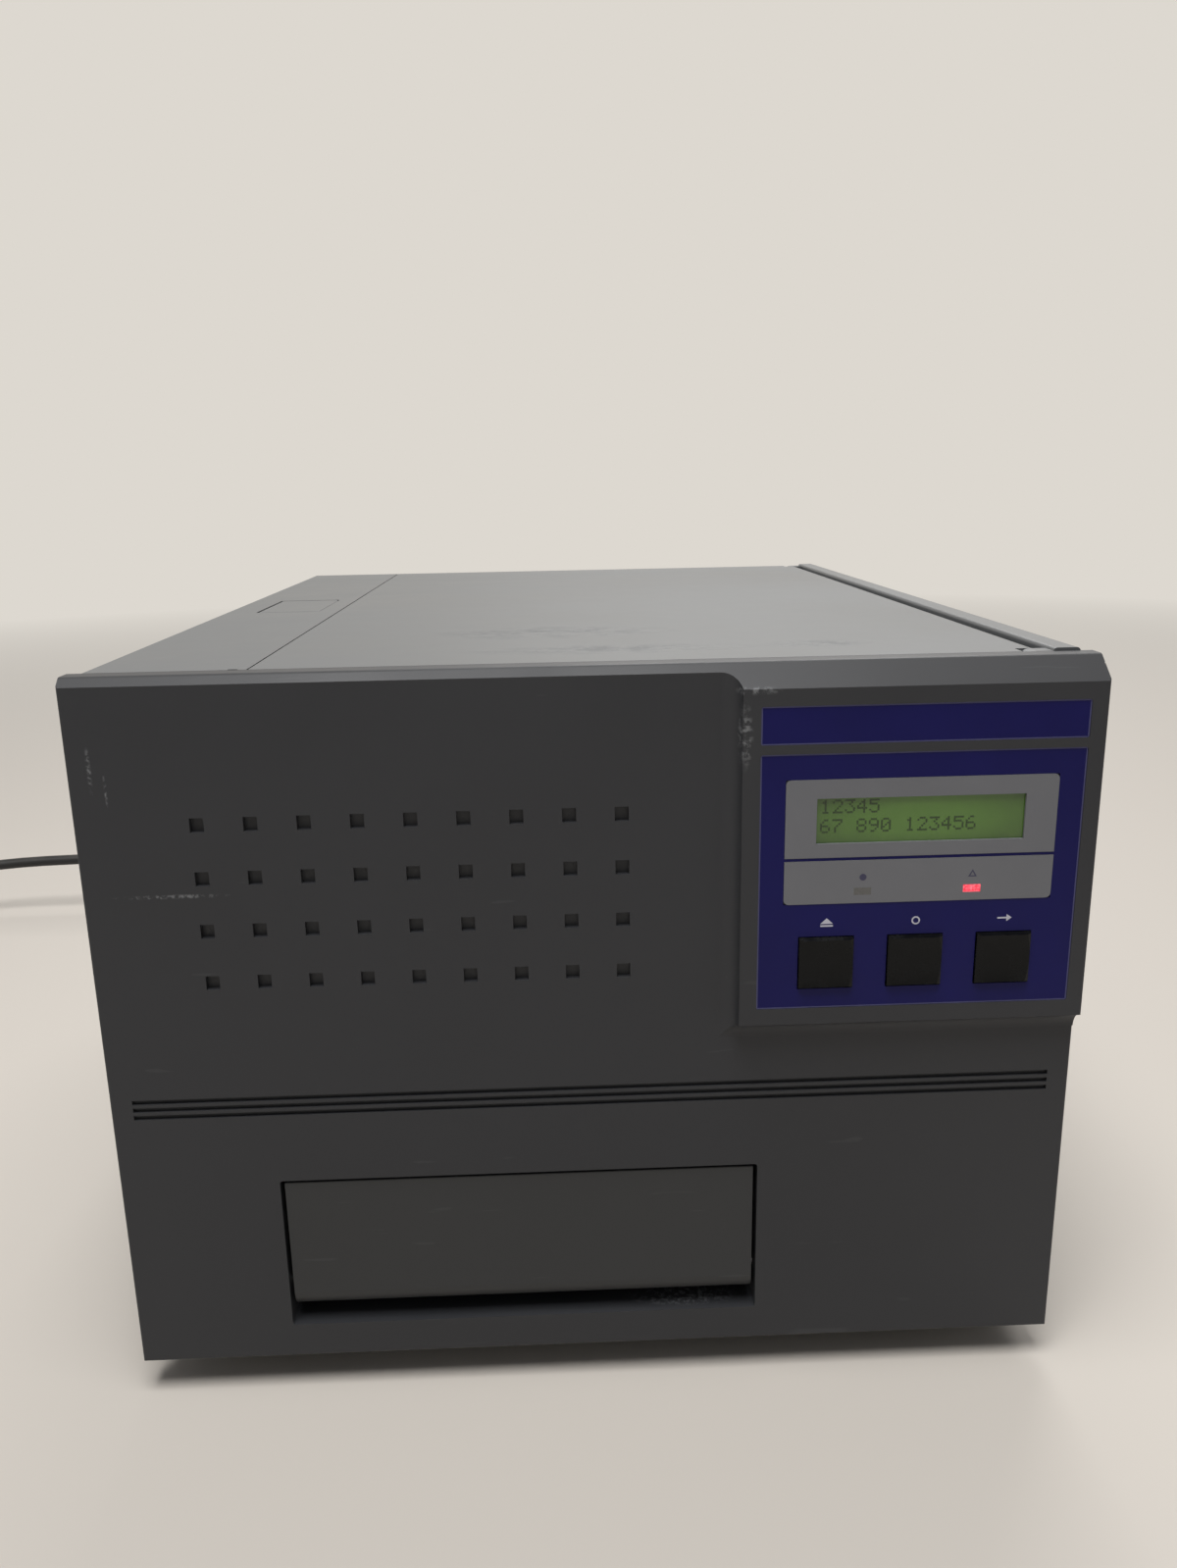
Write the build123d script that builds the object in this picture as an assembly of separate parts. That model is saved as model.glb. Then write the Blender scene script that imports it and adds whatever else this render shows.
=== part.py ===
from build123d import *
import math
import os

os.makedirs("parts", exist_ok=True)

# A printer that prints the label side of discs: a moulded front with a proud control block,
# a sheet case with a lid that swings up along its right edge, and a thermal transfer mechanism
# over a sliding disc tray. Millimetres. X is to the right, -Y is the front, Z is up, and the
# origin is on the table, at the middle of the printer without its mains lead.

# ------------------------------------------------------------------ overall form
body_width = 300.0          # fascia, side to side
fascia_height = 226.6       # fascia, bottom edge to top land
body_depth = 373.0          # fascia's face to the back of the case
stand_gap = 12.0            # table to the fascia's bottom edge
fit_gap = 0.3               # between parts that lie beside each other
slide_gap = 0.4             # beside parts that slide
spin_gap = 0.05             # radial clearance of a shaft in its bore

# ------------------------------------------------------------------ fascia
fascia_wall = 3.0
rim_depth = 9.2             # fascia's rim, laid over the front of the case
rim_wall = 2.5
chamfer_rise = 2.6          # sloping strip along the fascia's top
chamfer_slope = 0.86        # its rise over its run
land_round = 2.0            # between the slope and the level land
corner_round = 0.7

block_width = 105.9         # proud control block, flush with the fascia's right side
block_height = 103.9
block_proud = 5.0
cove_radius = 6.0           # concave side and underside of the block

vent_columns = 9
vent_rows = 4
vent_pitch_x = 15.5
vent_pitch_z = 16.5
vent_width = 4.1
vent_height = 4.4
vent_depth = 2.0
vent_from_left = 35.4       # centre of the first column from the fascia's left side
vent_from_bottom = 182.7    # centre of the top row above the fascia's bottom edge

groove_count = 3
groove_pitch = 2.6
groove_height = 1.5
groove_depth = 1.2
groove_side_margin = 6.8
groove_from_bottom = 93.3   # lower edge of the top groove

opening_width = 151.9       # tray opening
opening_height = 53.1
opening_from_left = 49.7
opening_from_bottom = 11.9
opening_round = 1.0
tunnel_depth = 22.0         # collar behind the opening
tunnel_wall = 2.0

# ------------------------------------------------------------------ control block's furniture
panel_margin = 5.1          # block's side to the panels' right edge
panel_width = 95.6
panel_height = 79.5
panel_from_block_bottom = 5.2
panel_recess = 1.0
panel_thick = 0.7
panel_round = 0.8
name_height = 11.4
name_gap = 2.7              # between the panel and the name strip

bezel_width = 80.3          # grey surrounds on the panel
bezel_thick = 0.9
display_bezel_height = 23.8
indicator_bezel_height = 13.4
bezel_seam = 1.0            # strip of panel between the two surrounds
bezel_from_panel_left = 7.6
bezel_from_panel_top = 7.8
window_width = 61.7
window_height = 13.8
window_from_bezel_left = 9.2
window_from_bezel_top = 5.7
window_rest = 1.0           # window's edge held behind the surround
lens_width = 5.3
lens_height = 2.4
lens_pitch = 32.8
lens_from_bezel_left = 20.9
lens_from_bezel_bottom = 2.5

key_size = 16.4
key_pitch = 26.9
key_from_panel_left = 12.6
key_from_panel_bottom = 6.5
key_proud = 1.2
key_travel = 1.0
key_dish = 0.7              # depth of the hollow in a key's face
key_bevel = 1.4
key_side_gap = 0.25
key_lip = 0.9               # rim that keeps a key behind the wall
key_lip_thick = 1.2
key_stem_radius = 2.0

board_thick = 1.6
post_length = 6.0           # fascia posts that carry the control board
post_radius = 3.0
control_board_width = 92.0
control_board_height = 78.0
module_width = 71.0         # display module's metal frame
module_height = 25.0
switch_size = 6.0
switch_height = 3.0
plunger_radius = 1.7
plunger_height = 0.4

# ------------------------------------------------------------------ tray door
door_thick = 3.0
door_recess = 0.6           # door's face behind the fascia's face
door_side_gap = 1.35
door_top_gap = 1.1
door_pivot_height = 11.9    # pivot above the opening's lower edge
door_curl = 7.5             # outer radius of the door's lower edge, about its pivot
door_cheek = 8.0            # width of the boss at each end
door_pin_radius = 1.25
door_pin_length = 10.0

# ------------------------------------------------------------------ case
case_inset = 3.3            # case's sides inside the fascia's sides
case_wall = 2.0
case_flange = 10.0          # covers turned in under the base
left_strip = 48.1           # width of the left cover's top strip
ledge_width = 8.0           # ledge under the lid's left edge
ledge_drop = 4.5
ridge_width = 8.2           # raised rail along the lid's right edge
ridge_rise = 0.9
ridge_depth = 6.0
lid_seam = 0.5
lid_thick = 2.5
lid_rib_depth = 5.0
lid_rib_thick = 2.0
lid_hinge_radius = 4.0
lid_hinge_gap = 0.8         # between the lid's right edge and the ridge
lid_lug = 6.0               # length of each hinge lug
lid_pin_radius = 1.5
lid_pin_length = 16.0

button_width = 25.5
button_length = 49.0
button_from_case_left = 14.1
button_from_face = 169.4
button_thick = 2.5
button_skirt = 9.0
button_gap = 0.6
button_travel = 3.0
latch_thick = 4.0
latch_width = 16.0
cam_inset = 8.0             # button's right side to its wedge
cam_tip = 1.0               # flat under the wedge
striker_gap = 1.5           # ledge to the lid's striker

base_thick = 1.5
base_flange = 15.0
base_lift = 3.0             # base pan above the fascia's bottom edge
foot_radius = 11.0
foot_inset_x = 32.0
foot_inset_y = 38.0
foot_dish = 4.0
rear_thick = 1.5
rear_vent_rows = 6
rear_vent_pitch = 12.0
rear_vent_height = 4.0
rear_vent_length = 70.0
rear_vent_from_left = 60.0   # from the case's left side
rear_vent_from_bottom = 120.0

# ------------------------------------------------------------------ tray and its drive
disc_radius = 60.0
tray_width = 146.0
tray_thick = 4.2
tray_set_back = 48.0        # fascia's face to the tray's front edge
tray_rise = 46.0            # tray's underside above the opening's lower edge
tray_plate_length = 140.0
tray_length = 242.0
tray_travel = 185.0
tray_arm = 14.0             # width of the two arms behind the plate
tray_cross = 10.0           # bar across the arms' rear ends
well_depth = 1.6
well_clearance = 0.6
tray_rim = 5.4              # tray's front edge to the disc's well
hub_flange_radius = 17.0
hub_flange_thick = 1.4
hub_radius = 7.3
hub_height = 2.4
hub_slit = 1.0              # slits that part the boss into three fingers
hub_slit_depth = 5.0
finger_radius = 14.0        # notch for a finger at the tray's front edge

rail_wall = 4.8
rail_lip = 3.3
rail_lip_thick = 2.6
rail_front = 30.0           # from the fascia's face
rail_length = 270.0

gear_module = 1.0
pressure_angle = math.radians(20.0)
backlash = 0.16
pinion_teeth = 20
tray_gear_teeth = 48
motor_gear_teeth = 12
platen_gear_teeth = 40
gear_width = 6.0
rack_width = 7.0
rack_from_tray_side = 5.0
pinion_set_back = 95.0      # fascia's face to the pinion's axis
rack_pitch_drop = 3.4       # tray's underside to the rack's pitch line
shaft_radius = 4.0
motor_radius = 14.0
motor_length = 30.0
motor_shaft_reach = 8.0     # how far a motor gear's shaft reaches into its motor
spool_shaft_reach = 9.0     # how far a driven spool's shaft reaches past the right side plate

# ------------------------------------------------------------------ mechanism frame
plate_thick = 1.5
plate_front = 28.0          # from the fascia's face
wiring_room = 25.0          # side plates to the mains inlet
plate_height = 200.0
plate_foot = 12.0           # width of the foot bent inwards
rod_radius = 3.0
bar_inset = 13.0            # tie bars from the side plates' ends
front_bar_height = 110.0    # above the base
rear_bar_heights = (24.0, 140.0)

# Places in the mechanism: set back from the fascia's face, and height above its bottom edge.
ribbon_supply_back = 200.0  # its height follows from the latch above it
ribbon_takeup_at = (100.0, 190.0)
film_supply_at = (262.0, 150.0)
film_takeup_at = (62.0, 140.0)
platen_at = (150.0, 120.0)
transfer_set_back = 78.0
head_pivot_at = (172.0, 165.0)
guide_front_at = (126.0, 133.9)
guide_rear_at = (172.0, 133.9)

ribbon_width = 122.0
core_radius = 12.0
core_flange_radius = 15.0
core_flange_thick = 2.0
supply_roll_radius = 25.0
supply_clearance = 2.0      # between the supply roll and the latch
takeup_roll_radius = 16.0
web_thick = 0.2
platen_radius = 10.0
platen_core_radius = 6.0
transfer_radius = 12.0
transfer_lift = 1.5
transfer_clearance = 1.8    # raised transfer roller above the tray's face
shield_gap = 3.0
shield_thick = 1.5
head_gap = 1.3              # raised print head above the platen
head_depth = 16.0
head_height = 26.0
head_fin_count = 5
head_fin_gap = 1.8
head_edge_height = 2.4
arm_thick = 2.0

# ------------------------------------------------------------------ electrics
board_from_right = 8.0
main_board_width = 80.0
main_board_length = 160.0
standoff_height = 7.5
standoff_radius = 3.0
processor_side = 26.0
processor_height = 2.5
memory_width = 18.0
memory_length = 24.0
memory_height = 3.0
driver_width = 14.0
driver_length = 30.0
relay_width = 20.0
relay_length = 12.0
relay_height = 9.0
port_length = 14.0          # data ports on the board's rear edge
port_margin = 8.0           # beside and between the ports
narrow_port_width = 12.0
narrow_port_height = 11.0
wide_port_width = 40.0
wide_port_height = 12.0
port_depth = 8.0
port_wall = 1.0
port_proud = 1.0
port_tongue = 3.0
supply_width = 32.0
supply_length = 120.0
supply_height = 80.0
supply_from_rear = 60.0
supply_sheet = 2.0          # bent bracket under the supply
transformer_from_front = 12.0
transformer_margin = 5.0
transformer_length = 34.0
transformer_height = 34.0
capacitor_count = 3
capacitor_from_front = 62.0
capacitor_pitch = 20.0
capacitor_radius = 8.5
capacitor_height = 32.0
fin_count = 6               # heat sink on the bracket's wall
fin_pitch = 9.0
fin_thick = 3.0
fin_reach = 14.0
fin_low = 42.0
fin_high = 74.0
fan_size = 80.0
fan_depth = 25.0
fan_bore = 38.0
fan_hub_radius = 16.0
fan_blades = 7
rotor_set_in = 2.6          # fan rotor's rear to the rear panel
fan_from_right = 50.0
fan_from_bottom = 150.0
fan_hole_pitch = 71.5
guard_rings = 4
guard_wire = 1.4
guard_proud = 3.2           # fan guard behind the rear panel
inlet_from_left = 40.0
inlet_from_bottom = 36.0
inlet_width = 27.0
inlet_height = 20.0
inlet_depth = 18.0
inlet_flange_width = 48.0
inlet_flange_height = 24.0
inlet_flange_thick = 2.2
inlet_wall = 1.6
switch_from_bottom = 66.0
rocker_width = 19.0
rocker_height = 13.0
rocker_proud = 2.6
rocker_tilt = 8.0           # degrees, either side of level
rocker_set_in = 5.0         # rocker's pin behind the rear panel's face
rocker_pin_radius = 1.5
rocker_pin_reach = 0.8      # into the switch's walls
switch_wall = 1.4
switch_depth = 14.0

# ------------------------------------------------------------------ reference planes
left = -body_width / 2
right = body_width / 2
bottom = stand_gap
top = bottom + fascia_height
face_y = (block_proud + key_proud - body_depth - guard_proud) / 2
back_y = face_y + body_depth
rim_y = face_y + rim_depth
case_left = left + case_inset
case_right = right - case_inset
case_front = rim_y + fit_gap

opening_left = left + opening_from_left
opening_right = opening_left + opening_width
opening_bottom = bottom + opening_from_bottom
opening_top = opening_bottom + opening_height
opening_mid = (opening_left + opening_right) / 2

block_front = face_y - block_proud
block_left = right - block_width
block_top = top - chamfer_rise - block_proud * chamfer_slope
block_bottom = block_top - block_height
cove_run = math.sqrt(cove_radius ** 2 - (cove_radius - block_proud) ** 2)
block_back = block_front + fascia_wall

panel_right = right - panel_margin
panel_left = panel_right - panel_width
panel_bottom = block_bottom + panel_from_block_bottom
panel_top = panel_bottom + panel_height
panel_floor = block_front + panel_recess
bezel_left = panel_left + bezel_from_panel_left
bezel_right = bezel_left + bezel_width
bezel_top = panel_top - bezel_from_panel_top
bezel_split = bezel_top - display_bezel_height
lower_bezel_top = bezel_split - bezel_seam
lower_bezel_bottom = lower_bezel_top - indicator_bezel_height
window_left = bezel_left + window_from_bezel_left
window_top = bezel_top - window_from_bezel_top
lens_lefts = [bezel_left + lens_from_bezel_left + n * lens_pitch for n in range(2)]
lens_bottom = lower_bezel_bottom + lens_from_bezel_bottom
key_lefts = [panel_left + key_from_panel_left + n * key_pitch for n in range(3)]
key_bottom = panel_bottom + key_from_panel_bottom
key_middle_z = key_bottom + key_size / 2
board_front = block_back + post_length
plunger_y = board_front - switch_height - plunger_height

door_left = opening_left + door_side_gap
door_right = opening_right - door_side_gap
door_top = opening_top - door_top_gap
door_pivot_z = opening_bottom + door_pivot_height
door_pivot_y = face_y + door_recess + door_curl

tray_bottom = opening_bottom + tray_rise
tray_top = tray_bottom + tray_thick
tray_front = face_y + tray_set_back
tray_rear = tray_front + tray_length
tray_left = opening_mid - tray_width / 2
tray_right = opening_mid + tray_width / 2
disc_y = tray_front + tray_rim + disc_radius

plate_left = tray_left - fit_gap - rail_wall - plate_thick
plate_right = tray_right + fit_gap + rail_wall + plate_thick
plate_front_y = face_y + plate_front
plate_rear_y = back_y - inlet_depth - wiring_room
plate_length = plate_rear_y - plate_front_y
base_floor = bottom + base_lift
base_top = base_floor + base_thick
lid_left = case_left + left_strip + lid_seam
ridge_left = case_right - ridge_width
lid_right = ridge_left - lid_hinge_gap
hinge_x = lid_right - lid_hinge_radius
hinge_z = top - lid_hinge_radius
button_left = case_left + button_from_case_left
button_right = button_left + button_width
button_front = face_y + button_from_face
button_middle = button_front + button_length / 2
latch_top = top - button_skirt - button_travel
latch_bottom = latch_top - latch_thick
strip_right = case_left + left_strip
ledge_top = top - lid_thick - fit_gap
striker_left = strip_right + ledge_width + striker_gap
cam_right = button_right - cam_inset
cam_low = latch_top - latch_thick / 2
ribbon_supply_at = (ribbon_supply_back, latch_bottom - supply_clearance - supply_roll_radius - bottom)


def in_frame(place):
    """A mechanism place as world Y and Z."""
    return face_y + place[0], bottom + place[1]


# ------------------------------------------------------------------ simple solids
def block(x0, x1, y0, y1, z0, z1):
    return Pos((x0 + x1) / 2, (y0 + y1) / 2, (z0 + z1) / 2) * Box(x1 - x0, y1 - y0, z1 - z0)


def rod_x(x0, x1, y, z, radius):
    return Pos((x0 + x1) / 2, y, z) * Rot(0, 90, 0) * Cylinder(radius, x1 - x0)


def rod_y(x, y0, y1, z, radius):
    return Pos(x, (y0 + y1) / 2, z) * Rot(90, 0, 0) * Cylinder(radius, y1 - y0)


def rod_z(x, y, z0, z1, radius):
    return Pos(x, y, (z0 + z1) / 2) * Cylinder(radius, z1 - z0)


def pad_y(x0, x1, y0, y1, z0, z1, radius):
    """A plate that faces the front, with round corners."""
    plane = Plane(origin=((x0 + x1) / 2, y1, (z0 + z1) / 2), x_dir=(1, 0, 0), z_dir=(0, -1, 0))
    return extrude(plane * RectangleRounded(x1 - x0, z1 - z0, radius), y1 - y0)


def pad_z(x0, x1, y0, y1, z0, z1, radius):
    """A level plate with round corners."""
    plane = Plane(origin=((x0 + x1) / 2, (y0 + y1) / 2, z0))
    return extrude(plane * RectangleRounded(x1 - x0, y1 - y0, radius), z1 - z0)


def prism_x(points, x0, x1):
    """A profile of (y, z) points carried across from x0 to x1."""
    plane = Plane(origin=(x0, 0, 0), x_dir=(0, 1, 0), z_dir=(1, 0, 0))
    return extrude(plane * make_face(Polyline(*points, close=True)), x1 - x0)


def prism_y(points, y0, y1):
    """A profile of (x, z) points carried back from y0 to y1."""
    plane = Plane(origin=(0, y1, 0), x_dir=(1, 0, 0), z_dir=(0, -1, 0))
    return extrude(plane * make_face(Polyline(*points, close=True)), y1 - y0)


def save(name, *solids):
    shape = solids[0] if len(solids) == 1 else Compound(children=list(solids))
    export_step(shape, "parts/" + name + ".step")


# ------------------------------------------------------------------ fascia
def fascia_side_profile():
    slope_top = face_y + chamfer_rise / chamfer_slope
    profile = make_face(Polyline(
        (face_y, bottom), (face_y, top - chamfer_rise), (slope_top, top), (rim_y, top), (rim_y, bottom),
        close=True))
    land = profile.vertices().filter_by(lambda v: abs(v.X - slope_top) < 0.01 and v.Y > bottom + 1)
    return fillet(land, land_round)


def fascia_body():
    plane = Plane(origin=(left, 0, 0), x_dir=(0, 1, 0), z_dir=(1, 0, 0))
    body = extrude(plane * fascia_side_profile(), body_width)
    corners = body.edges().filter_by(Axis.Z).group_by(Axis.Y)[0]
    lower = body.edges().filter_by(Axis.X).group_by(Axis.Z)[0].group_by(Axis.Y)[0]
    return fillet(corners + lower, corner_round)


def control_block():
    """Block in front of the face: its top is the fascia's slope, its left and lower sides are coves."""
    low = block_bottom - cove_run
    inner = block_left - cove_run
    solid = prism_x([(block_front, low), (block_front, block_top), (face_y, top - chamfer_rise),
                     (face_y + 1, top - chamfer_rise), (face_y + 1, low)], inner, right)
    side_edge = solid.edges().filter_by(Axis.Z).group_by(Axis.Y)[0].sort_by(Axis.X)[-1]
    solid = fillet(side_edge, corner_round)
    cove_y = face_y - cove_radius
    solid -= rod_z(inner, cove_y, low - 1, top, cove_radius)
    solid -= rod_x(inner - 1, right + 1, cove_y, low, cove_radius)
    return solid


def vents():
    pockets = []
    for row in range(vent_rows):
        for column in range(vent_columns):
            x = left + vent_from_left + column * vent_pitch_x
            z = bottom + vent_from_bottom - row * vent_pitch_z
            pockets.append(block(x - vent_width / 2, x + vent_width / 2, face_y - 1, face_y + vent_depth,
                                 z - vent_height / 2, z + vent_height / 2))
    return pockets


def grooves():
    first = bottom + groove_from_bottom
    return [block(left + groove_side_margin, right - groove_side_margin, face_y - 1, face_y + groove_depth,
                  first - n * groove_pitch, first - n * groove_pitch + groove_height)
            for n in range(groove_count)]


def block_cutouts():
    cuts = [pad_y(panel_left, panel_right, block_front - 1, panel_floor, panel_bottom, panel_top, panel_round)]
    name_bottom = panel_top + name_gap
    cuts.append(pad_y(panel_left, panel_right, block_front - 1, panel_floor,
                      name_bottom, name_bottom + name_height, panel_round))
    cuts.append(block(window_left - window_rest, window_left + window_width + window_rest,
                      panel_floor - 1, block_back + 1,
                      window_top - window_height - window_rest, window_top + window_rest))
    for x in lens_lefts:
        cuts.append(block(x, x + lens_width, panel_floor - 1, block_back + 1,
                          lens_bottom, lens_bottom + lens_height))
    for x in key_lefts:
        cuts.append(block(x - key_side_gap, x + key_size + key_side_gap, panel_floor - 1, block_back + 1,
                          key_bottom - key_side_gap, key_bottom + key_size + key_side_gap))
    return cuts


def control_posts():
    """Places of the four posts behind the block, as (x, z)."""
    x_mid = (block_left + right) / 2
    z_mid = (block_bottom + block_top) / 2
    dx = control_board_width / 2 - post_radius - 1
    dz = control_board_height / 2 - post_radius - 1
    return [(x_mid + sx * dx, z_mid + sz * dz) for sx in (-1, 1) for sz in (-1, 1)]


def make_fascia():
    solid = fascia_body() + control_block()
    solid -= block(left + rim_wall, right - rim_wall, face_y + fascia_wall, rim_y + 1,
                   bottom + rim_wall, top - rim_wall)
    solid -= block(block_left + fascia_wall, right - fascia_wall, block_back, face_y + fascia_wall + 1,
                   block_bottom + fascia_wall, block_top - fascia_wall)
    tunnel = block(opening_left - tunnel_wall, opening_right + tunnel_wall,
                   face_y + fascia_wall - 1, face_y + tunnel_depth,
                   opening_bottom - tunnel_wall, opening_top + tunnel_wall)
    solid += tunnel
    solid -= pad_y(opening_left, opening_right, face_y - 1, face_y + tunnel_depth + 1,
                   opening_bottom, opening_top, opening_round)
    for pocket in vents() + grooves() + block_cutouts():
        solid -= pocket
    for x, z in control_posts():
        solid += rod_y(x, block_back - 0.5, board_front, z, post_radius)
    solid -= rod_x(opening_left - tunnel_wall - 1, opening_right + tunnel_wall + 1,
                   door_pivot_y, door_pivot_z, door_pin_radius)
    return solid


# ------------------------------------------------------------------ control block's furniture
def make_name_strip():
    name_bottom = panel_top + name_gap
    return pad_y(panel_left + spin_gap, panel_right - spin_gap, panel_floor - panel_thick, panel_floor,
                 name_bottom + spin_gap, name_bottom + name_height - spin_gap, panel_round)


def make_control_panel():
    solid = pad_y(panel_left + spin_gap, panel_right - spin_gap, panel_floor - panel_thick, panel_floor,
                  panel_bottom + spin_gap, panel_top - spin_gap, panel_round)
    for low, high in [(bezel_split, bezel_top), (lower_bezel_bottom, lower_bezel_top)]:
        solid -= block(bezel_left - spin_gap, bezel_right + spin_gap, panel_floor - 2, panel_floor + 1,
                       low - spin_gap, high + spin_gap)
    for x in key_lefts:
        solid -= block(x - key_side_gap, x + key_size + key_side_gap, panel_floor - 2, panel_floor + 1,
                       key_bottom - key_side_gap, key_bottom + key_size + key_side_gap)
    return solid


def make_display_bezel():
    solid = block(bezel_left, bezel_right, panel_floor - bezel_thick, panel_floor, bezel_split, bezel_top)
    window = block(window_left, window_left + window_width, panel_floor - 2, panel_floor + 1,
                   window_top - window_height, window_top)
    return solid - window


def make_indicator_bezel():
    solid = block(bezel_left, bezel_right, panel_floor - bezel_thick, panel_floor,
                  lower_bezel_bottom, lower_bezel_top)
    for x in lens_lefts:
        solid -= block(x, x + lens_width, panel_floor - 2, panel_floor + 1,
                       lens_bottom, lens_bottom + lens_height)
    return solid


def make_display_window():
    edge = window_rest - spin_gap
    return block(window_left - edge, window_left + window_width + edge, panel_floor, block_back,
                 window_top - window_height - edge, window_top + edge)


def make_display_module():
    x = window_left + window_width / 2
    z = window_top - window_height / 2
    frame = pad_y(x - module_width / 2, x + module_width / 2, block_back, board_front - board_thick,
                  z - module_height / 2, z + module_height / 2, 1.0)
    card = block(x - module_width / 2 - 3, x + module_width / 2 + 3, board_front - board_thick, board_front,
                 z - module_height / 2 - 1.5, z + module_height / 2 + 1.5)
    return frame + card


def make_lens(x):
    return block(x + spin_gap, x + lens_width - spin_gap, panel_floor - bezel_thick, board_front,
                 lens_bottom + spin_gap, lens_bottom + lens_height - spin_gap)


def make_key(x):
    """Square key: bevelled rim, hollow face, lip behind the wall and a stem towards its switch."""
    front = block_front - key_proud
    lip_y = block_back + 0.1
    x_mid = x + key_size / 2
    cap = block(x, x + key_size, front, lip_y, key_bottom, key_bottom + key_size)
    rim = cap.faces().sort_by(Axis.Y)[0].edges()
    cap = chamfer(rim, key_dish, key_bevel)
    dish_radius = (key_size / 2) ** 2 / (2 * key_dish)
    cap -= rod_x(x, x + key_size, front - dish_radius + key_dish, key_middle_z, dish_radius)
    lip = block(x - key_lip, x + key_size + key_lip, lip_y, lip_y + key_lip_thick,
                key_bottom - key_lip, key_bottom + key_size + key_lip)
    stem = rod_y(x_mid, lip_y, plunger_y - key_travel - spin_gap, key_middle_z, key_stem_radius)
    return cap + lip + stem


def make_control_board():
    x_mid = (block_left + right) / 2
    z_mid = (block_bottom + block_top) / 2
    board = block(x_mid - control_board_width / 2, x_mid + control_board_width / 2,
                  board_front, board_front + board_thick,
                  z_mid - control_board_height / 2, z_mid + control_board_height / 2)
    for x in key_lefts:
        centre = x + key_size / 2
        half = switch_size / 2
        board += block(centre - half, centre + half, board_front - switch_height, board_front + 0.5,
                       key_middle_z - half, key_middle_z + half)
        board += rod_y(centre, plunger_y, board_front, key_middle_z, plunger_radius)
    return board


# ------------------------------------------------------------------ tray door
def make_tray_door():
    outer = rod_x(door_left, door_right, door_pivot_y, door_pivot_z, door_curl)
    front = door_pivot_y - door_curl
    body = outer + block(door_left, door_right, front, front + door_thick, door_pivot_z, door_top)
    body -= block(door_left - 1, door_right + 1, door_pivot_y, door_pivot_y + door_curl + 1,
                  door_pivot_z - door_curl - 1, door_pivot_z + door_curl + 1)
    body -= block(door_left - 1, door_right + 1, front + door_thick, door_pivot_y + 1,
                  door_pivot_z, door_pivot_z + door_curl + 1)
    hollow = rod_x(door_left + door_cheek, door_right - door_cheek, door_pivot_y, door_pivot_z,
                   door_curl - door_thick)
    body -= hollow
    for x0, x1 in [(door_left, door_left + door_cheek), (door_right - door_cheek, door_right)]:
        body += rod_x(x0, x1, door_pivot_y, door_pivot_z, door_thick)
        body -= rod_x(x0 - 0.01, x1 + 0.01, door_pivot_y, door_pivot_z, door_pin_radius + spin_gap)
    rim = body.edges().filter_by(Axis.X).group_by(Axis.Z)[-1]
    return fillet(rim, 0.5)


def make_door_pins():
    inner = door_pin_length - tunnel_wall - door_side_gap
    return [rod_x(opening_left - tunnel_wall, door_left + inner, door_pivot_y, door_pivot_z, door_pin_radius),
            rod_x(door_right - inner, opening_right + tunnel_wall, door_pivot_y, door_pivot_z,
                  door_pin_radius)]


# ------------------------------------------------------------------ case
def make_chassis_base():
    x0 = case_left + case_wall + fit_gap
    x1 = case_right - case_wall - fit_gap
    y0 = face_y + fascia_wall + fit_gap
    y1 = back_y - rear_thick
    solid = block(x0, x1, y0, y1, base_floor, base_floor + base_flange)
    solid -= block(x0 + base_thick, x1 - base_thick, y0 + base_thick, y1 + 1, base_top, base_top + base_flange)
    solid -= block(opening_left - tunnel_wall - fit_gap, opening_right + tunnel_wall + fit_gap,
                   y0 - 1, y0 + base_thick + 1, opening_bottom - tunnel_wall - fit_gap, top)
    slot_y = (y0 + y1) / 2
    for n in range(8):
        x = x0 + (x1 - x0) * (n + 1.5) / 10
        solid -= pad_z(x - 2, x + 2, slot_y - 30, slot_y + 30, base_floor - 1, base_top + 1, 1.9)
    return solid


def foot_places():
    y_front = face_y + foot_inset_y
    y_rear = back_y - foot_inset_y
    return [(x, y) for x in (left + foot_inset_x, right - foot_inset_x) for y in (y_front, y_rear)]


def make_foot(x, y):
    foot = rod_z(x, y, 0, base_floor, foot_radius)
    rim = foot.edges().filter_by(GeomType.CIRCLE).group_by(Axis.Z)[0]
    foot = chamfer(rim, 1.5)
    return foot - rod_z(x, y, -1, foot_dish, foot_radius / 3)


def make_left_cover():
    wall_in = case_left + case_wall
    low = bottom + rim_wall - case_wall / 2
    profile = [
        (case_left, low), (case_left, top), (strip_right, top), (strip_right, ledge_top),
        (strip_right + ledge_width, ledge_top), (strip_right + ledge_width, ledge_top - case_wall),
        (strip_right - case_wall, ledge_top - case_wall), (strip_right - case_wall, top - case_wall),
        (wall_in, top - case_wall), (wall_in, base_floor - fit_gap),
        (case_left + case_flange, base_floor - fit_gap), (case_left + case_flange, low)]
    solid = prism_y(profile, case_front, back_y)
    corner = solid.edges().filter_by(Axis.Y).group_by(Axis.X)[0].group_by(Axis.Z)[-1]
    solid = fillet(corner, 1.2)
    solid += button_well()
    solid -= pad_z(button_left - button_gap, button_right + button_gap, button_front - button_gap,
                   button_front + button_length + button_gap, top - case_wall - 1, top + 1, 1.5)
    return solid - block(strip_right - 5.5, strip_right - 2.6, case_front - 1, case_front + 1.2,
                         top - case_wall - 1, top + 1)


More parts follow.
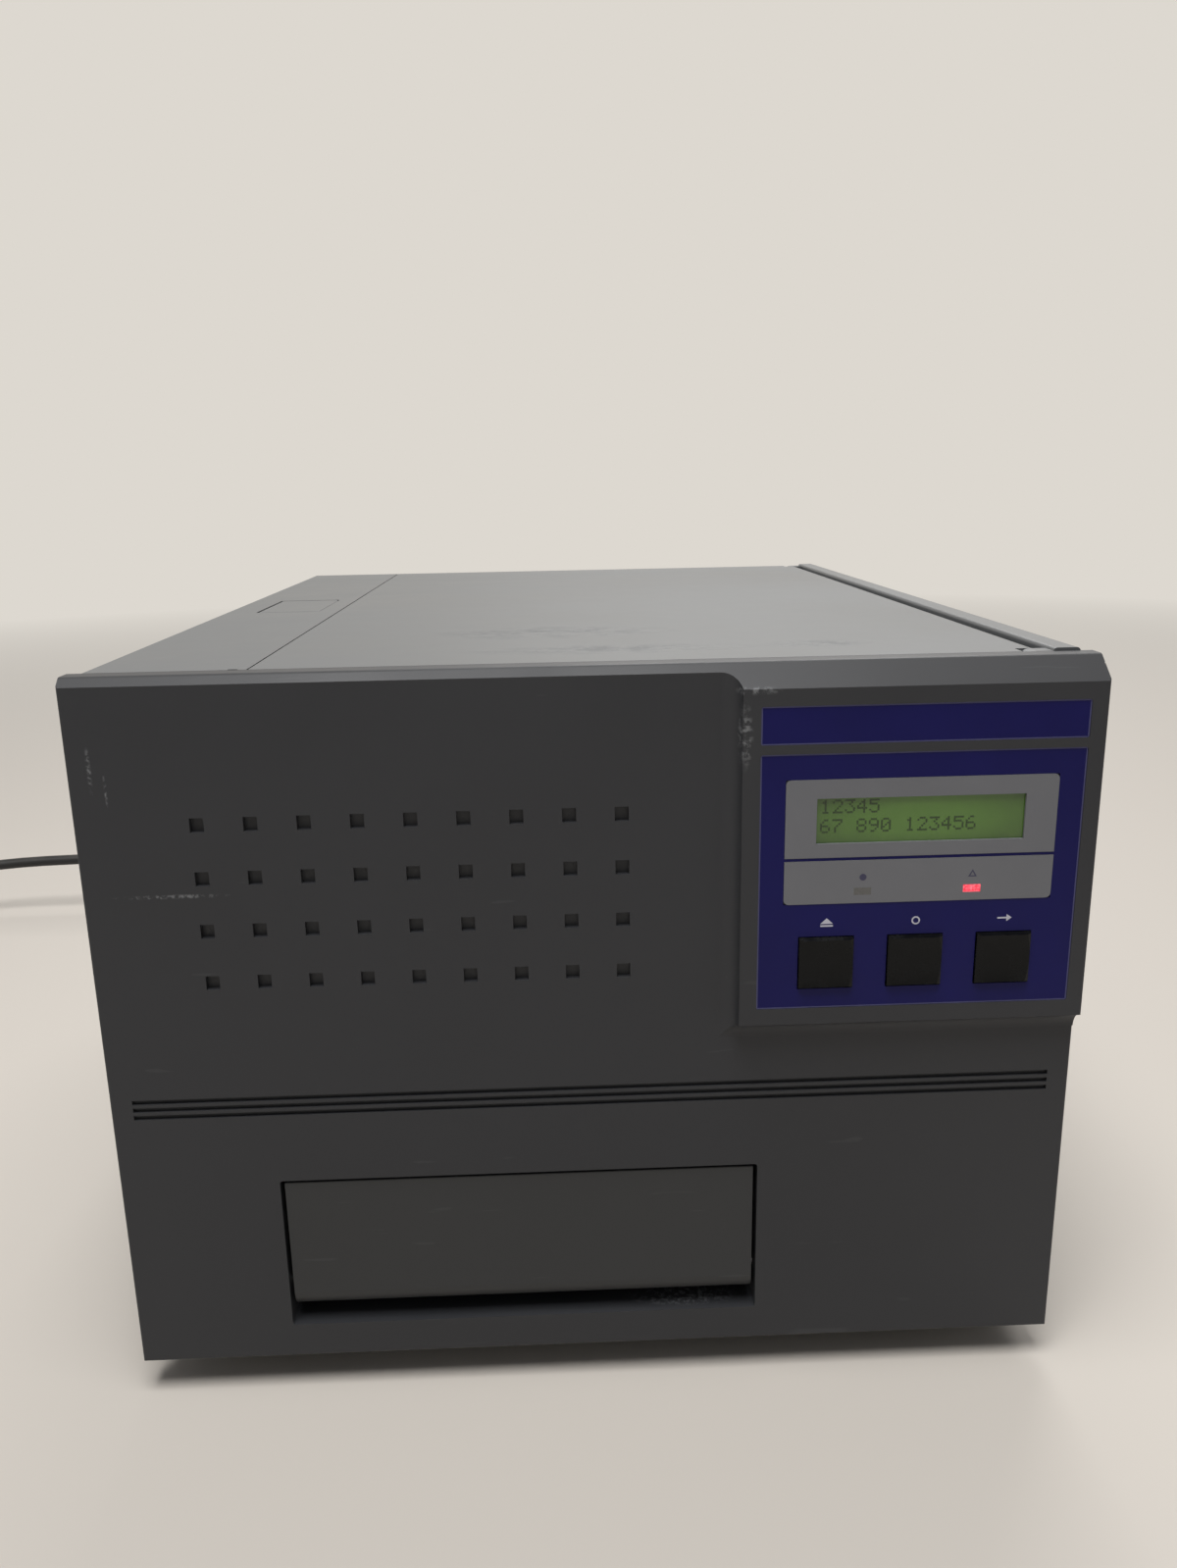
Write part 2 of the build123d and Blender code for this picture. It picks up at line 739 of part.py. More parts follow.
def button_well():
    """Walls round the release button, with two lipped guides for the latch below it."""
    x0 = button_left - button_gap
    x1 = button_right + button_gap
    y0 = button_front - button_gap
    y1 = button_front + button_length + button_gap
    low = latch_bottom - slide_gap - case_wall
    well = block(x0 - case_wall, x1 + case_wall, y0 - case_wall, y1 + case_wall, low, top - case_wall / 2)
    well -= block(x0, x1, y0, y1, low - 1, top)
    side = latch_width / 2 + slide_gap
    well -= block(x1 - 1, x1 + case_wall + 1, button_middle - side, button_middle + side,
                  latch_bottom - slide_gap, latch_top + slide_gap)
    for sign in (-1, 1):
        edges = sorted([button_middle + sign * side, button_middle + sign * (side + case_wall)])
        lips = sorted([button_middle + sign * (side - case_wall), button_middle + sign * (side + case_wall)])
        well += block(x0 - 0.5, x1 + 0.5, edges[0], edges[1], low, latch_top)
        well += block(x0 - 0.5, x1 + 0.5, lips[0], lips[1], low, low + case_wall)
    return well


def make_right_cover():
    low = bottom + rim_wall - case_wall / 2
    crest = top + ridge_rise
    wall_in = case_right - case_wall
    profile = [
        (case_right, low), (case_right - case_flange, low), (case_right - case_flange, base_floor - fit_gap),
        (wall_in, base_floor - fit_gap), (wall_in, top - ridge_depth), (ridge_left, top - ridge_depth),
        (ridge_left, crest), (case_right, crest)]
    solid = prism_y(profile, case_front, back_y)
    edges = solid.edges().filter_by(Axis.Y).group_by(Axis.Z)[-1]
    solid = fillet(edges, 1.2)
    for y0 in lug_places():
        lug = rod_y(hinge_x, y0, y0 + lid_lug, hinge_z, lid_hinge_radius)
        lug += block(hinge_x, ridge_left + 1, y0, y0 + lid_lug, hinge_z - lid_hinge_radius, hinge_z)
        lug += block(hinge_x, ridge_left + 1, y0, y0 + lid_lug, hinge_z - 1, top)
        lug -= rod_y(hinge_x, y0 - 1, y0 + lid_lug + 1, hinge_z, lid_pin_radius)
        solid += lug
    return solid


def lug_places():
    return [case_front, back_y - lid_lug]


def make_lid():
    """Top plate with a rolled right edge that turns on the hinge pins, ribs below and a striker."""
    low = top - lid_thick
    plate = block(lid_left, hinge_x, case_front, back_y, low, top)
    notch = lid_lug + slide_gap
    plate -= block(hinge_x - lid_hinge_radius - slide_gap, right, case_front - 1, case_front + notch,
                   low - 5, top + 1)
    plate -= block(hinge_x - lid_hinge_radius - slide_gap, right, back_y - notch, back_y + 1, low - 5, top + 1)
    y0 = case_front + notch
    y1 = back_y - notch
    barrel = rod_y(hinge_x, y0, y1, hinge_z, lid_hinge_radius)
    solid = plate + barrel
    rib_left = lid_left + ledge_width + 4
    rib_right = hinge_x - lid_hinge_radius - 3
    rib_low = low - lid_rib_depth
    for n in range(5):
        y = case_front + 8 + n * (back_y - case_front - 26) / 4
        solid += block(rib_left, rib_right, y, y + lid_rib_thick, rib_low, low + 0.5)
    for x in (rib_left, (rib_left + rib_right) / 2, rib_right - lid_rib_thick):
        solid += block(x, x + lid_rib_thick, case_front + 8, back_y - 16, rib_low, low + 0.5)
    solid += striker()
    pin_hole = lid_pin_length - lid_lug - slide_gap + fit_gap
    solid -= rod_y(hinge_x, y0 - 1, y0 + pin_hole, hinge_z, lid_pin_radius + spin_gap)
    solid -= rod_y(hinge_x, y1 - pin_hole, y1 + 1, hinge_z, lid_pin_radius + spin_gap)
    return solid


def striker():
    """Tongue under the lid's left edge, with a window for the latch."""
    half = latch_width / 2 + 4
    x0 = striker_left
    tongue = block(x0, x0 + lid_rib_thick, button_middle - half, button_middle + half,
                   latch_bottom - 5, top - 1)
    window = block(x0 - 1, x0 + lid_rib_thick + 1, button_middle - half + 3, button_middle + half - 3,
                   latch_bottom - 1, latch_top + 1)
    return tongue - window


def make_lid_pins():
    front_y = lug_places()[0]
    return [rod_y(hinge_x, front_y, front_y + lid_pin_length, hinge_z, lid_pin_radius),
            rod_y(hinge_x, back_y - lid_pin_length, back_y, hinge_z, lid_pin_radius)]


def make_release_button():
    """Flush button with a skirt, and a wedge below it whose slope faces left."""
    solid = pad_z(button_left, button_right, button_front, button_front + button_length,
                  top - button_skirt + slide_gap, top, 1.5)
    solid -= block(button_left + case_wall, button_right - case_wall, button_front + case_wall,
                   button_front + button_length - case_wall, top - button_skirt - 1, top - button_thick)
    solid = fillet(solid.edges().group_by(Axis.Z)[-1], 0.6)
    cam_top = top - button_thick + 0.5
    reach = cam_top - cam_low
    cam = prism_y([(cam_right, cam_top), (cam_right, cam_low), (cam_right - cam_tip, cam_low),
                   (cam_right - cam_tip - reach, cam_top)],
                  button_middle - latch_width / 2 + 4, button_middle + latch_width / 2 - 4)
    return solid + cam


def make_latch():
    """Sliding latch below the button: the wedge moves its window's left edge away from the striker."""
    x_nose = striker_left - slide_gap
    x_tail = button_left - button_gap + button_travel + slide_gap
    solid = block(x_tail, x_nose, button_middle - latch_width / 2, button_middle + latch_width / 2,
                  latch_bottom, latch_top)
    slope_x = cam_right - cam_tip - (latch_top - cam_low)
    window_x0 = slope_x - slide_gap
    window_x1 = cam_right + button_travel + slide_gap
    solid -= block(window_x0, window_x1, button_middle - latch_width / 2 + 3,
                   button_middle + latch_width / 2 - 3, latch_bottom - 1, latch_top + 1)
    nose = solid.edges().filter_by(Axis.Y).group_by(Axis.X)[-1].group_by(Axis.Z)[-1]
    return chamfer(nose, 1.5)


def make_rear_panel():
    x0 = case_left + case_wall + fit_gap
    x1 = case_right - case_wall - fit_gap
    ledge_right = strip_right + ledge_width + fit_gap
    lug_left = hinge_x - lid_hinge_radius - slide_gap
    shoulder = hinge_z - lid_hinge_radius - fit_gap
    solid = block(x0, x1, back_y - rear_thick, back_y, base_floor, shoulder)
    for step_x0, step_x1, step_top in [
            (x0, strip_right - case_wall - fit_gap, top - case_wall - fit_gap),
            (x0, ledge_right, ledge_top - case_wall - fit_gap), (ledge_right, lug_left, ledge_top)]:
        solid += block(step_x0, step_x1, back_y - rear_thick, back_y, shoulder - 1, step_top)
    fan_x = right - fan_from_right
    fan_z = bottom + fan_from_bottom
    solid -= rod_y(fan_x, back_y - 5, back_y + 1, fan_z, fan_bore)
    inlet_x = left + inlet_from_left
    inlet_z = bottom + inlet_from_bottom
    solid -= block(inlet_x - inlet_width / 2, inlet_x + inlet_width / 2, back_y - 5, back_y + 1,
                   inlet_z - inlet_height / 2, inlet_z + inlet_height / 2)
    switch_z = bottom + switch_from_bottom
    half = rocker_width / 2 + switch_wall + fit_gap / 2
    rise = rocker_height / 2 + switch_wall + fit_gap / 2
    solid -= block(inlet_x - half, inlet_x + half, back_y - 5, back_y + 1, switch_z - rise, switch_z + rise)
    for x0, x1, z0, z1 in port_boxes():
        solid -= block(x0 - fit_gap, x1 + fit_gap, back_y - 5, back_y + 1, z0 - fit_gap, z1 + fit_gap)
    for row in range(rear_vent_rows):
        z = bottom + rear_vent_from_bottom + row * rear_vent_pitch
        x0 = case_left + rear_vent_from_left
        solid -= pad_y(x0, x0 + rear_vent_length, back_y - 5, back_y + 1, z, z + rear_vent_height, rear_vent_height * 0.475)
    return solid


# ------------------------------------------------------------------ gears
def involute_angle(radius, base_radius, pitch_half_angle):
    """Half the angle that a tooth fills at a radius."""
    if radius <= base_radius:
        radius = base_radius
    turn = math.acos(base_radius / radius)
    at_pitch = math.tan(pressure_angle) - pressure_angle
    return pitch_half_angle + at_pitch - (math.tan(turn) - turn)


def gear_points(teeth, first_tooth):
    """Outline of a spur gear about the origin, with one tooth centred at first_tooth (radians)."""
    pitch_radius = gear_module * teeth / 2
    base_radius = pitch_radius * math.cos(pressure_angle)
    tip = pitch_radius + 0.95 * gear_module
    root = pitch_radius - 1.25 * gear_module
    half = (math.pi * gear_module / 2 - backlash / 2) / (2 * pitch_radius)
    low = max(root, base_radius)
    flank = [(root, involute_angle(low, base_radius, half)), (low, involute_angle(low, base_radius, half)),
             (tip, involute_angle(tip, base_radius, half))]
    if root >= base_radius:
        flank = flank[1:]
    points = []
    for n in range(teeth):
        middle = first_tooth + 2 * math.pi * n / teeth
        for radius, angle in [(r, -a) for r, a in flank] + [(r, a) for r, a in reversed(flank)]:
            points.append((radius * math.cos(middle + angle), radius * math.sin(middle + angle)))
    return points


def gear(teeth, x0, x1, y, z, first_tooth, bore):
    """Spur gear on an axis along X, with a hub ring and a bore."""
    points = [(y + p, z + q) for p, q in gear_points(teeth, first_tooth)]
    return prism_x(points, x0, x1) - rod_x(x0 - 1, x1 + 1, y, z, bore)


# ------------------------------------------------------------------ tray, rails and drive
pinion_radius = gear_module * pinion_teeth / 2
rack_z = tray_bottom - rack_pitch_drop
pinion_y = face_y + pinion_set_back
pinion_z = rack_z - pinion_radius
rack_x1 = tray_right - rack_from_tray_side
rack_x0 = rack_x1 - rack_width
drive_distance = gear_module * (tray_gear_teeth + motor_gear_teeth) / 2
drive_turn = math.radians(-40.0)
drive_x0 = plate_right + fit_gap + 1
drive_x1 = drive_x0 + gear_width
tray_motor_y = pinion_y + drive_distance * math.cos(drive_turn)
tray_motor_z = pinion_z + drive_distance * math.sin(drive_turn)
platen_y, platen_z = in_frame(platen_at)
platen_distance = gear_module * (platen_gear_teeth + motor_gear_teeth) / 2
platen_turn = math.radians(-60.0)
platen_motor_y = platen_y + platen_distance * math.cos(platen_turn)
platen_motor_z = platen_z + platen_distance * math.sin(platen_turn)
transfer_z = tray_top + transfer_clearance + transfer_radius
head_low = platen_z + platen_radius + head_gap


def rack():
    """Teeth that face down under the tray's right side, with a gap centred over the pinion at rest."""
    pitch = math.pi * gear_module
    flank = math.tan(pressure_angle)
    half = pitch / 4 - backlash / 4
    tip = rack_z - 0.95 * gear_module
    root = rack_z + 1.25 * gear_module
    tip_half = half - flank * 0.95 * gear_module
    root_half = half + flank * 1.25 * gear_module
    first = -5
    last = math.ceil((tray_travel + 2 * gear_module) / pitch) + 1
    points = [(pinion_y + (first + 0.5) * pitch - pitch / 2, tray_bottom + 0.5)]
    points.append((points[0][0], root))
    for n in range(first, last + 1):
        middle = pinion_y + (n + 0.5) * pitch
        points += [(middle - root_half, root), (middle - tip_half, tip),
                   (middle + tip_half, tip), (middle + root_half, root)]
    end = pinion_y + (last + 0.5) * pitch + pitch / 2
    points += [(end, root), (end, tray_bottom + 0.5)]
    return prism_x(points, rack_x0, rack_x1)


def make_tray():
    """Disc tray: a plate with the disc's well, and two arms with a cross bar behind it."""
    plate_rear = tray_front + tray_plate_length
    solid = block(tray_left, tray_right, tray_front, plate_rear, tray_bottom, tray_top)
    front = solid.edges().filter_by(Axis.Z).group_by(Axis.Y)[0]
    solid = fillet(front, 4.0)
    solid += block(tray_left, tray_left + tray_arm, plate_rear - 1, tray_rear, tray_bottom, tray_top)
    solid += block(tray_right - tray_arm, tray_right, plate_rear - 1, tray_rear, tray_bottom, tray_top)
    solid += block(tray_left, tray_right, tray_rear - tray_cross, tray_rear, tray_bottom, tray_top)
    well_floor = tray_top - well_depth
    solid -= rod_z(opening_mid, disc_y, well_floor, tray_top + 1, disc_radius + well_clearance)
    solid -= rod_z(opening_mid, tray_front - 3, tray_bottom - 1, tray_top + 1, finger_radius)
    solid -= rod_z(opening_mid, disc_y, well_floor - hub_flange_thick, tray_top + 1,
                   hub_flange_radius + spin_gap)
    for sign in (-1, 1):
        slot = pad_z(opening_mid + sign * 38 - 6, opening_mid + sign * 38 + 6, disc_y - 16, disc_y + 16,
                     tray_bottom - 1, tray_top, 5.9)
        solid -= slot
    return solid + rack()


def make_hub():
    """Disc hub: a flange in the tray's well and a boss with three gripping segments."""
    flange_low = tray_top - well_depth - hub_flange_thick
    flange = rod_z(opening_mid, disc_y, flange_low, flange_low + hub_flange_thick, hub_flange_radius)
    boss = rod_z(opening_mid, disc_y, flange_low, flange_low + hub_flange_thick + hub_height, hub_radius)
    rim = boss.edges().filter_by(GeomType.CIRCLE).group_by(Axis.Z)[-1]
    boss = chamfer(rim, 0.6)
    for n in range(3):
        slit = Pos(opening_mid, disc_y, flange_low + hub_flange_thick + hub_height) * Rot(0, 0, 30 + 120 * n) \
            * Pos(hub_radius, 0, 0) * Box(2 * hub_slit_depth, hub_slit, 2 * hub_height)
        boss -= slit
    return flange + boss


def make_rails():
    """Two channels that carry the tray's edges."""
    y0 = face_y + rail_front
    y1 = y0 + rail_length
    low = tray_bottom - slide_gap - rail_lip_thick
    high = tray_top + slide_gap + rail_lip_thick
    rails = []
    for outer, inner, sign in [(plate_left + plate_thick, tray_left - fit_gap, 1),
                               (plate_right - plate_thick, tray_right + fit_gap, -1)]:
        x_web = sorted([outer, inner])
        web = block(x_web[0], x_web[1], y0, y1, low, high)
        x_lip = sorted([inner - 0.01 * sign, inner + sign * (rail_lip + fit_gap)])
        for z0, z1 in [(low, low + rail_lip_thick), (high - rail_lip_thick, high)]:
            web += block(x_lip[0], x_lip[1], y0, y1, z0, z1)
        rails.append(web)
    return rails


def make_tray_pinion():
    """Pinion and its shaft, which runs through the right side plate."""
    solid = gear(pinion_teeth, rack_x0, rack_x1, pinion_y, pinion_z, math.pi / 2, 1.0)
    solid += rod_x(rack_x0 - 6, drive_x1 + 2, pinion_y, pinion_z, shaft_radius)
    return solid


def make_tray_gear():
    toward = drive_turn
    solid = gear(tray_gear_teeth, drive_x0, drive_x1, pinion_y, pinion_z, toward, shaft_radius)
    for n in range(5):
        turn = toward + 2 * math.pi * (n + 0.5) / 5
        reach = gear_module * tray_gear_teeth / 3.6
        solid -= rod_x(drive_x0 - 1, drive_x1 + 1, pinion_y + reach * math.cos(turn),
                       pinion_z + reach * math.sin(turn), 4.2)
    return solid


def motor_gear(y, z, toward):
    """Small gear on a motor's shaft, with a gap that faces the large gear."""
    gap = toward + math.pi + math.pi / motor_gear_teeth
    solid = gear(motor_gear_teeth, drive_x0, drive_x1, y, z, gap, 1.0)
    return solid + rod_x(plate_right + fit_gap - motor_shaft_reach, drive_x1 + 1, y, z, 2.0)


def geared_motor(y, z):
    """Motor on the inner face of the right side plate, with a bore for its gear's shaft."""
    face = plate_right - plate_thick
    can = rod_x(face - motor_length, face, y, z, motor_radius)
    can = chamfer(can.edges().filter_by(GeomType.CIRCLE).group_by(Axis.X)[0], 1.5)
    return can - rod_x(face - motor_shaft_reach - 2, face + 1, y, z, 2.0 + spin_gap)


def spool_motor(y, z):
    """Motor on the outer face of the right side plate, with a bore for the spool's shaft."""
    can = rod_x(plate_right, plate_right + motor_length, y, z, motor_radius)
    can = chamfer(can.edges().filter_by(GeomType.CIRCLE).group_by(Axis.X)[-1], 1.5)
    return can - rod_x(plate_right - 1, plate_right + spool_shaft_reach + 1, y, z, shaft_radius + spin_gap)


# ------------------------------------------------------------------ mechanism frame
def shaft_bores():
    """Centres of the shafts that run in both side plates."""
    return [in_frame(place) for place in (ribbon_supply_at, ribbon_takeup_at, film_supply_at,
                                          film_takeup_at, platen_at)]


def side_plate(x0, foot_x0):
    """Steel side plate with a foot bent inwards, raked ends and an open window at the rear."""
    x1 = x0 + plate_thick
    y0 = plate_front_y
    y1 = plate_rear_y
    z0 = base_top
    z1 = base_top + plate_height
    solid = prism_x([(y0, z0), (y0, z0 + 0.75 * plate_height), (y0 + 0.12 * plate_length, z1),
                     (y1 - 0.12 * plate_length, z1), (y1, z0 + 0.8 * plate_height), (y1, z0)], x0, x1)
    solid += block(foot_x0, foot_x0 + plate_foot, y0 + 20, y1 - 20, z0, z0 + plate_thick)
    for y, z in shaft_bores():
        solid -= rod_x(x0 - 1, x1 + 1, y, z, shaft_radius + spin_gap)
    slot_y = face_y + transfer_set_back
    slot_z = transfer_z
    peg = rod_radius + fit_gap
    solid -= rod_x(x0 - 1, x1 + 1, slot_y, slot_z, peg)
    solid -= rod_x(x0 - 1, x1 + 1, slot_y, slot_z - transfer_lift, peg)
    solid -= block(x0 - 1, x1 + 1, slot_y - peg, slot_y + peg, slot_z - transfer_lift, slot_z)
    pivot_y, pivot_z = in_frame(head_pivot_at)
    solid -= rod_x(x0 - 1, x1 + 1, pivot_y, pivot_z, rod_radius + spin_gap)
    window_y = y1 - 60
    solid -= pad_x_window(x0, x1, window_y - 16, window_y + 16, z0 + 30, z0 + 62)
    return solid


def pad_x_window(x0, x1, y0, y1, z0, z1):
    plane = Plane(origin=(x0 - 1, (y0 + y1) / 2, (z0 + z1) / 2), x_dir=(0, 1, 0), z_dir=(1, 0, 0))
    return extrude(plane * RectangleRounded(y1 - y0, z1 - z0, 4.0), x1 - x0 + 2)


def make_left_plate():
    return side_plate(plate_left, plate_left)


def make_right_plate():
    solid = side_plate(plate_right - plate_thick, plate_right - plate_foot)
    solid -= rod_x(plate_right - 5, plate_right + 1, pinion_y, pinion_z, shaft_radius + spin_gap)
    for y, z in [(tray_motor_y, tray_motor_z), (platen_motor_y, platen_motor_z)]:
        solid -= rod_x(plate_right - 5, plate_right + 1, y, z, 3.0)
    return solid


def make_frame_bars():
    """Tie rods and the ribbon's two guide bars, held between the side plates."""
    inner_left = plate_left + plate_thick
    inner_right = plate_right - plate_thick
    rear = plate_rear_y - bar_inset
    front = plate_front_y + bar_inset
    places = [(front, base_top + front_bar_height)]
    places += [(rear, base_top + height) for height in rear_bar_heights]
    places += [in_frame(guide_front_at), in_frame(guide_rear_at)]
    return [rod_x(inner_left, inner_right, y, z, rod_radius) for y, z in places]


# ------------------------------------------------------------------ ribbon, film and printing
inner_left = plate_left + plate_thick
inner_right = plate_right - plate_thick
ribbon_left = opening_mid - ribbon_width / 2
ribbon_right = opening_mid + ribbon_width / 2


def spindle(place, reach):
    """Core with flanges on a shaft through both side plates; reach is past the right plate."""
    y, z = in_frame(place)
    solid = rod_x(ribbon_left - 4, ribbon_right + 4, y, z, core_radius)
    for x0 in (ribbon_left - 4 - core_flange_thick, ribbon_right + 4):
        solid += rod_x(x0, x0 + core_flange_thick, y, z, core_flange_radius)
    return solid + rod_x(plate_left - 2, plate_right + reach, y, z, shaft_radius)


def spool(place, roll_radius, reach):
    """Ribbon core and the ribbon wound on it."""
    y, z = in_frame(place)
    roll = rod_x(ribbon_left, ribbon_right, y, z, roll_radius)
    roll -= rod_x(ribbon_left - 1, ribbon_right + 1, y, z, core_radius)
    return spindle(place, reach), roll


def tangent_point(centre, radius, point, side):
    """Where a line from point touches the circle, on the given side."""
    dy = point[0] - centre[0]
    dz = point[1] - centre[1]
    distance = math.hypot(dy, dz)
    turn = math.atan2(dz, dy) + side * math.acos(radius / distance)
    return centre[0] + radius * math.cos(turn), centre[1] + radius * math.sin(turn)


def make_ribbon_web():
    """Ribbon from the supply roll, under both guide bars, to the take-up roll."""
    clear = fit_gap + web_thick / 2
    supply = in_frame(ribbon_supply_at)
    takeup = in_frame(ribbon_takeup_at)
    front = in_frame(guide_front_at)
    rear = in_frame(guide_rear_at)
    under = rear[1] - rod_radius - clear
    rear_corner = (rear[0] + rod_radius + clear, under)
    front_corner = (front[0] - rod_radius - clear, under)
    start = tangent_point(supply, supply_roll_radius + clear, rear_corner, 1)
    end = tangent_point(takeup, takeup_roll_radius + clear, front_corner, 1)
    path = Polyline(start, rear_corner, front_corner, end)
    plane = Plane(origin=(ribbon_left, 0, 0), x_dir=(0, 1, 0), z_dir=(1, 0, 0))
    return extrude(plane * trace(path, web_thick), ribbon_width)


def make_platen():
    roller = rod_x(ribbon_left - 2, ribbon_right + 2, platen_y, platen_z, platen_radius)
    return roller + rod_x(plate_left - 2, drive_x1 + 2, platen_y, platen_z, shaft_radius)


def make_platen_gear():
    return gear(platen_gear_teeth, drive_x0, drive_x1, platen_y, platen_z, platen_turn, shaft_radius)


def make_head_arm():
    """Two arms on a pivot rod, joined by a bar behind the print head."""
    pivot_y, pivot_z = in_frame(head_pivot_at)
    head_rear = platen_y + head_depth / 2
    head_z = head_low + head_edge_height + head_height / 2
    solid = rod_x(plate_left - 1, plate_right + 1, pivot_y, pivot_z, rod_radius)
    for x0 in (ribbon_left - 6, ribbon_right + 4):
        x1 = x0 + arm_thick
        profile = [(pivot_y + 5, pivot_z - 4), (pivot_y + 5, pivot_z + 5), (pivot_y - 4, pivot_z + 5),
                   (head_rear - head_depth, head_z + 6), (head_rear - head_depth, head_z - 8),
                   (head_rear + 2, head_z - 8)]
        solid += prism_x(profile, x0, x1)
    return solid + block(ribbon_left - 5, ribbon_right + 5, head_rear, head_rear + 2.0,
                         head_z - 6, head_z + 8)


def make_print_head():
    """Finned heat sink with the heating edge below it."""
    y0 = platen_y - head_depth / 2
    y1 = platen_y + head_depth / 2
    z0 = head_low + head_edge_height
    z1 = z0 + head_height
    x0 = ribbon_left - 4
    x1 = ribbon_right + 4
    solid = block(x0, x1, y0, y1, z0, z1)
    pitch = head_depth / head_fin_count
    for n in range(head_fin_count - 1):
        y = y0 + (n + 1) * pitch
        solid -= block(x0 - 1, x1 + 1, y - head_fin_gap / 2, y + head_fin_gap / 2, z0 + 8, z1 + 1)
    edge = prism_x([(y0 + 3, z0), (platen_y - 2, head_low), (platen_y + 2, head_low), (y1 - 3, z0)],
                   x0, x1)
    return solid + edge


def make_transfer_roller():
    y = face_y + transfer_set_back
    z = transfer_z
    roller = rod_x(ribbon_left - 2, ribbon_right + 2, y, z, transfer_radius)
    return roller + rod_x(ribbon_left - 8, ribbon_right + 8, y, z, shaft_radius)


def make_transfer_cradle():
    """Two blocks that carry the hot roller, with a curved shield over it and a peg at each end."""
    y = face_y + transfer_set_back
    z = transfer_z
    inner = transfer_radius + shield_gap
    outer = inner + shield_thick
    ends = [(ribbon_left - 9.0, ribbon_left - 4.0), (ribbon_right + 4.0, ribbon_right + 9.0)]
    shield = rod_x(ends[0][0], ends[1][1], y, z, outer) - rod_x(ends[0][0] - 1, ends[1][1] + 1, y, z, inner)
    shield -= block(ends[0][0] - 1, ends[1][1] + 1, y - outer - 1, y + outer + 1, z - outer - 1, z)
    solid = shield
    for x0, x1 in ends:
        solid += block(x0, x1, y - outer, y + outer, z - rod_radius - 3, z + 2)
        solid += rod_x(x0, x1, y, z, inner + 0.5) - block(x0 - 1, x1 + 1, y - outer, y + outer,
                                                           z - outer, z - rod_radius - 3)
    solid += rod_x(plate_left - 1, ends[0][0] + 0.5, y, z, rod_radius)
    solid += rod_x(ends[1][1] - 0.5, plate_right + 1, y, z, rod_radius)
    solid -= rod_x(ends[0][1] - 4.2, ends[1][0] + 4.2, y, z, shaft_radius + spin_gap)
    return solid


# ------------------------------------------------------------------ electrics
board_right = right - board_from_right
board_left = board_right - main_board_width
board_rear = back_y - rear_thick - fit_gap
board_low = base_top + standoff_height
fan_at = (right - fan_from_right, bottom + fan_from_bottom)
switch_at = (left + inlet_from_left, bottom + switch_from_bottom)
rocker_y = back_y - rocker_set_in


def port_boxes():
    """Data ports at the board's rear edge, as (x0, x1, z0, z1)."""
    z = board_low + board_thick
    x0 = board_left + port_margin
    x1 = x0 + narrow_port_width
    x2 = x1 + port_margin
    return [(x0, x1, z, z + narrow_port_height), (x2, x2 + wide_port_width, z, z + wide_port_height)]


def make_main_board():
    front = board_rear - main_board_length
    solid = block(board_left, board_right, front, board_rear, board_low, board_low + board_thick)
    for sx in (0.08, 0.92):
        for sy in (0.05, 0.93):
            solid += rod_z(board_left + sx * main_board_width, front + sy * main_board_length,
                           base_top, board_low + board_thick / 2, standoff_radius)
    solid += board_chip(0.30, 0.55, processor_side, processor_side, processor_height)
    solid += board_chip(0.72, 0.60, memory_width, memory_length, memory_height)
    solid += board_chip(0.32, 0.22, driver_width, driver_length, memory_height)
    solid += board_chip(0.72, 0.25, relay_width, relay_length, relay_height)
    for x0, x1, z0, z1 in port_boxes():
        solid += data_port(x0, x1, z0, z1)
    return solid


def board_chip(across, along, width, length, height):
    """Package on the board, its middle at shares of the board's width and length."""
    x = board_left + across * main_board_width
    y = board_rear - (1 - along) * main_board_length
    return block(x - width / 2, x + width / 2, y - length / 2, y + length / 2,
                 board_low + board_thick / 2, board_low + board_thick + height)


def data_port(x0, x1, z0, z1):
    """Shell with a tongue, soldered on the board's rear edge."""
    shell = block(x0, x1, board_rear - port_length, back_y + port_proud, z0, z1)
    shell -= block(x0 + port_wall, x1 - port_wall, board_rear - port_depth, back_y + 2, z0 + port_wall, z1 - port_wall)
    middle = (x0 + x1) / 2
    half = (x1 - x0) / 3
    level = (z0 + z1) / 2
    tongue = block(middle - half, middle + half, board_rear - port_depth - 0.5, back_y - 1,
                   level - port_tongue / 2, level + port_tongue / 2)
    return shell + tongue


def make_power_supply():
    """Open supply on a bent bracket: transformer, capacitors and a finned heat sink."""
    x0 = case_left + case_wall + base_thick + 2 * fit_gap + 1
    x1 = x0 + supply_width
    y0 = back_y - supply_length - supply_from_rear
    y1 = y0 + supply_length
    z0 = base_top
    seat = z0 + supply_sheet / 2
    solid = block(x0, x1, y0, y1, z0, z0 + supply_sheet) + block(x0, x0 + supply_sheet, y0, y1, z0, z0 + supply_height)
    transformer_y = y0 + transformer_from_front
    solid += block(x0 + transformer_margin, x1 - transformer_margin, transformer_y,
                   transformer_y + transformer_length, seat, z0 + transformer_height)
    for n in range(capacitor_count):
        solid += rod_z((x0 + x1) / 2, y0 + capacitor_from_front + n * capacitor_pitch, seat,
                       z0 + capacitor_height, capacitor_radius)
    for n in range(fin_count):
        fin_y = transformer_y + supply_sheet + n * fin_pitch
        solid += block(x0 + supply_sheet / 2, x0 + fin_reach, fin_y, fin_y + fin_thick, z0 + fin_low, z0 + fin_high)
    return solid


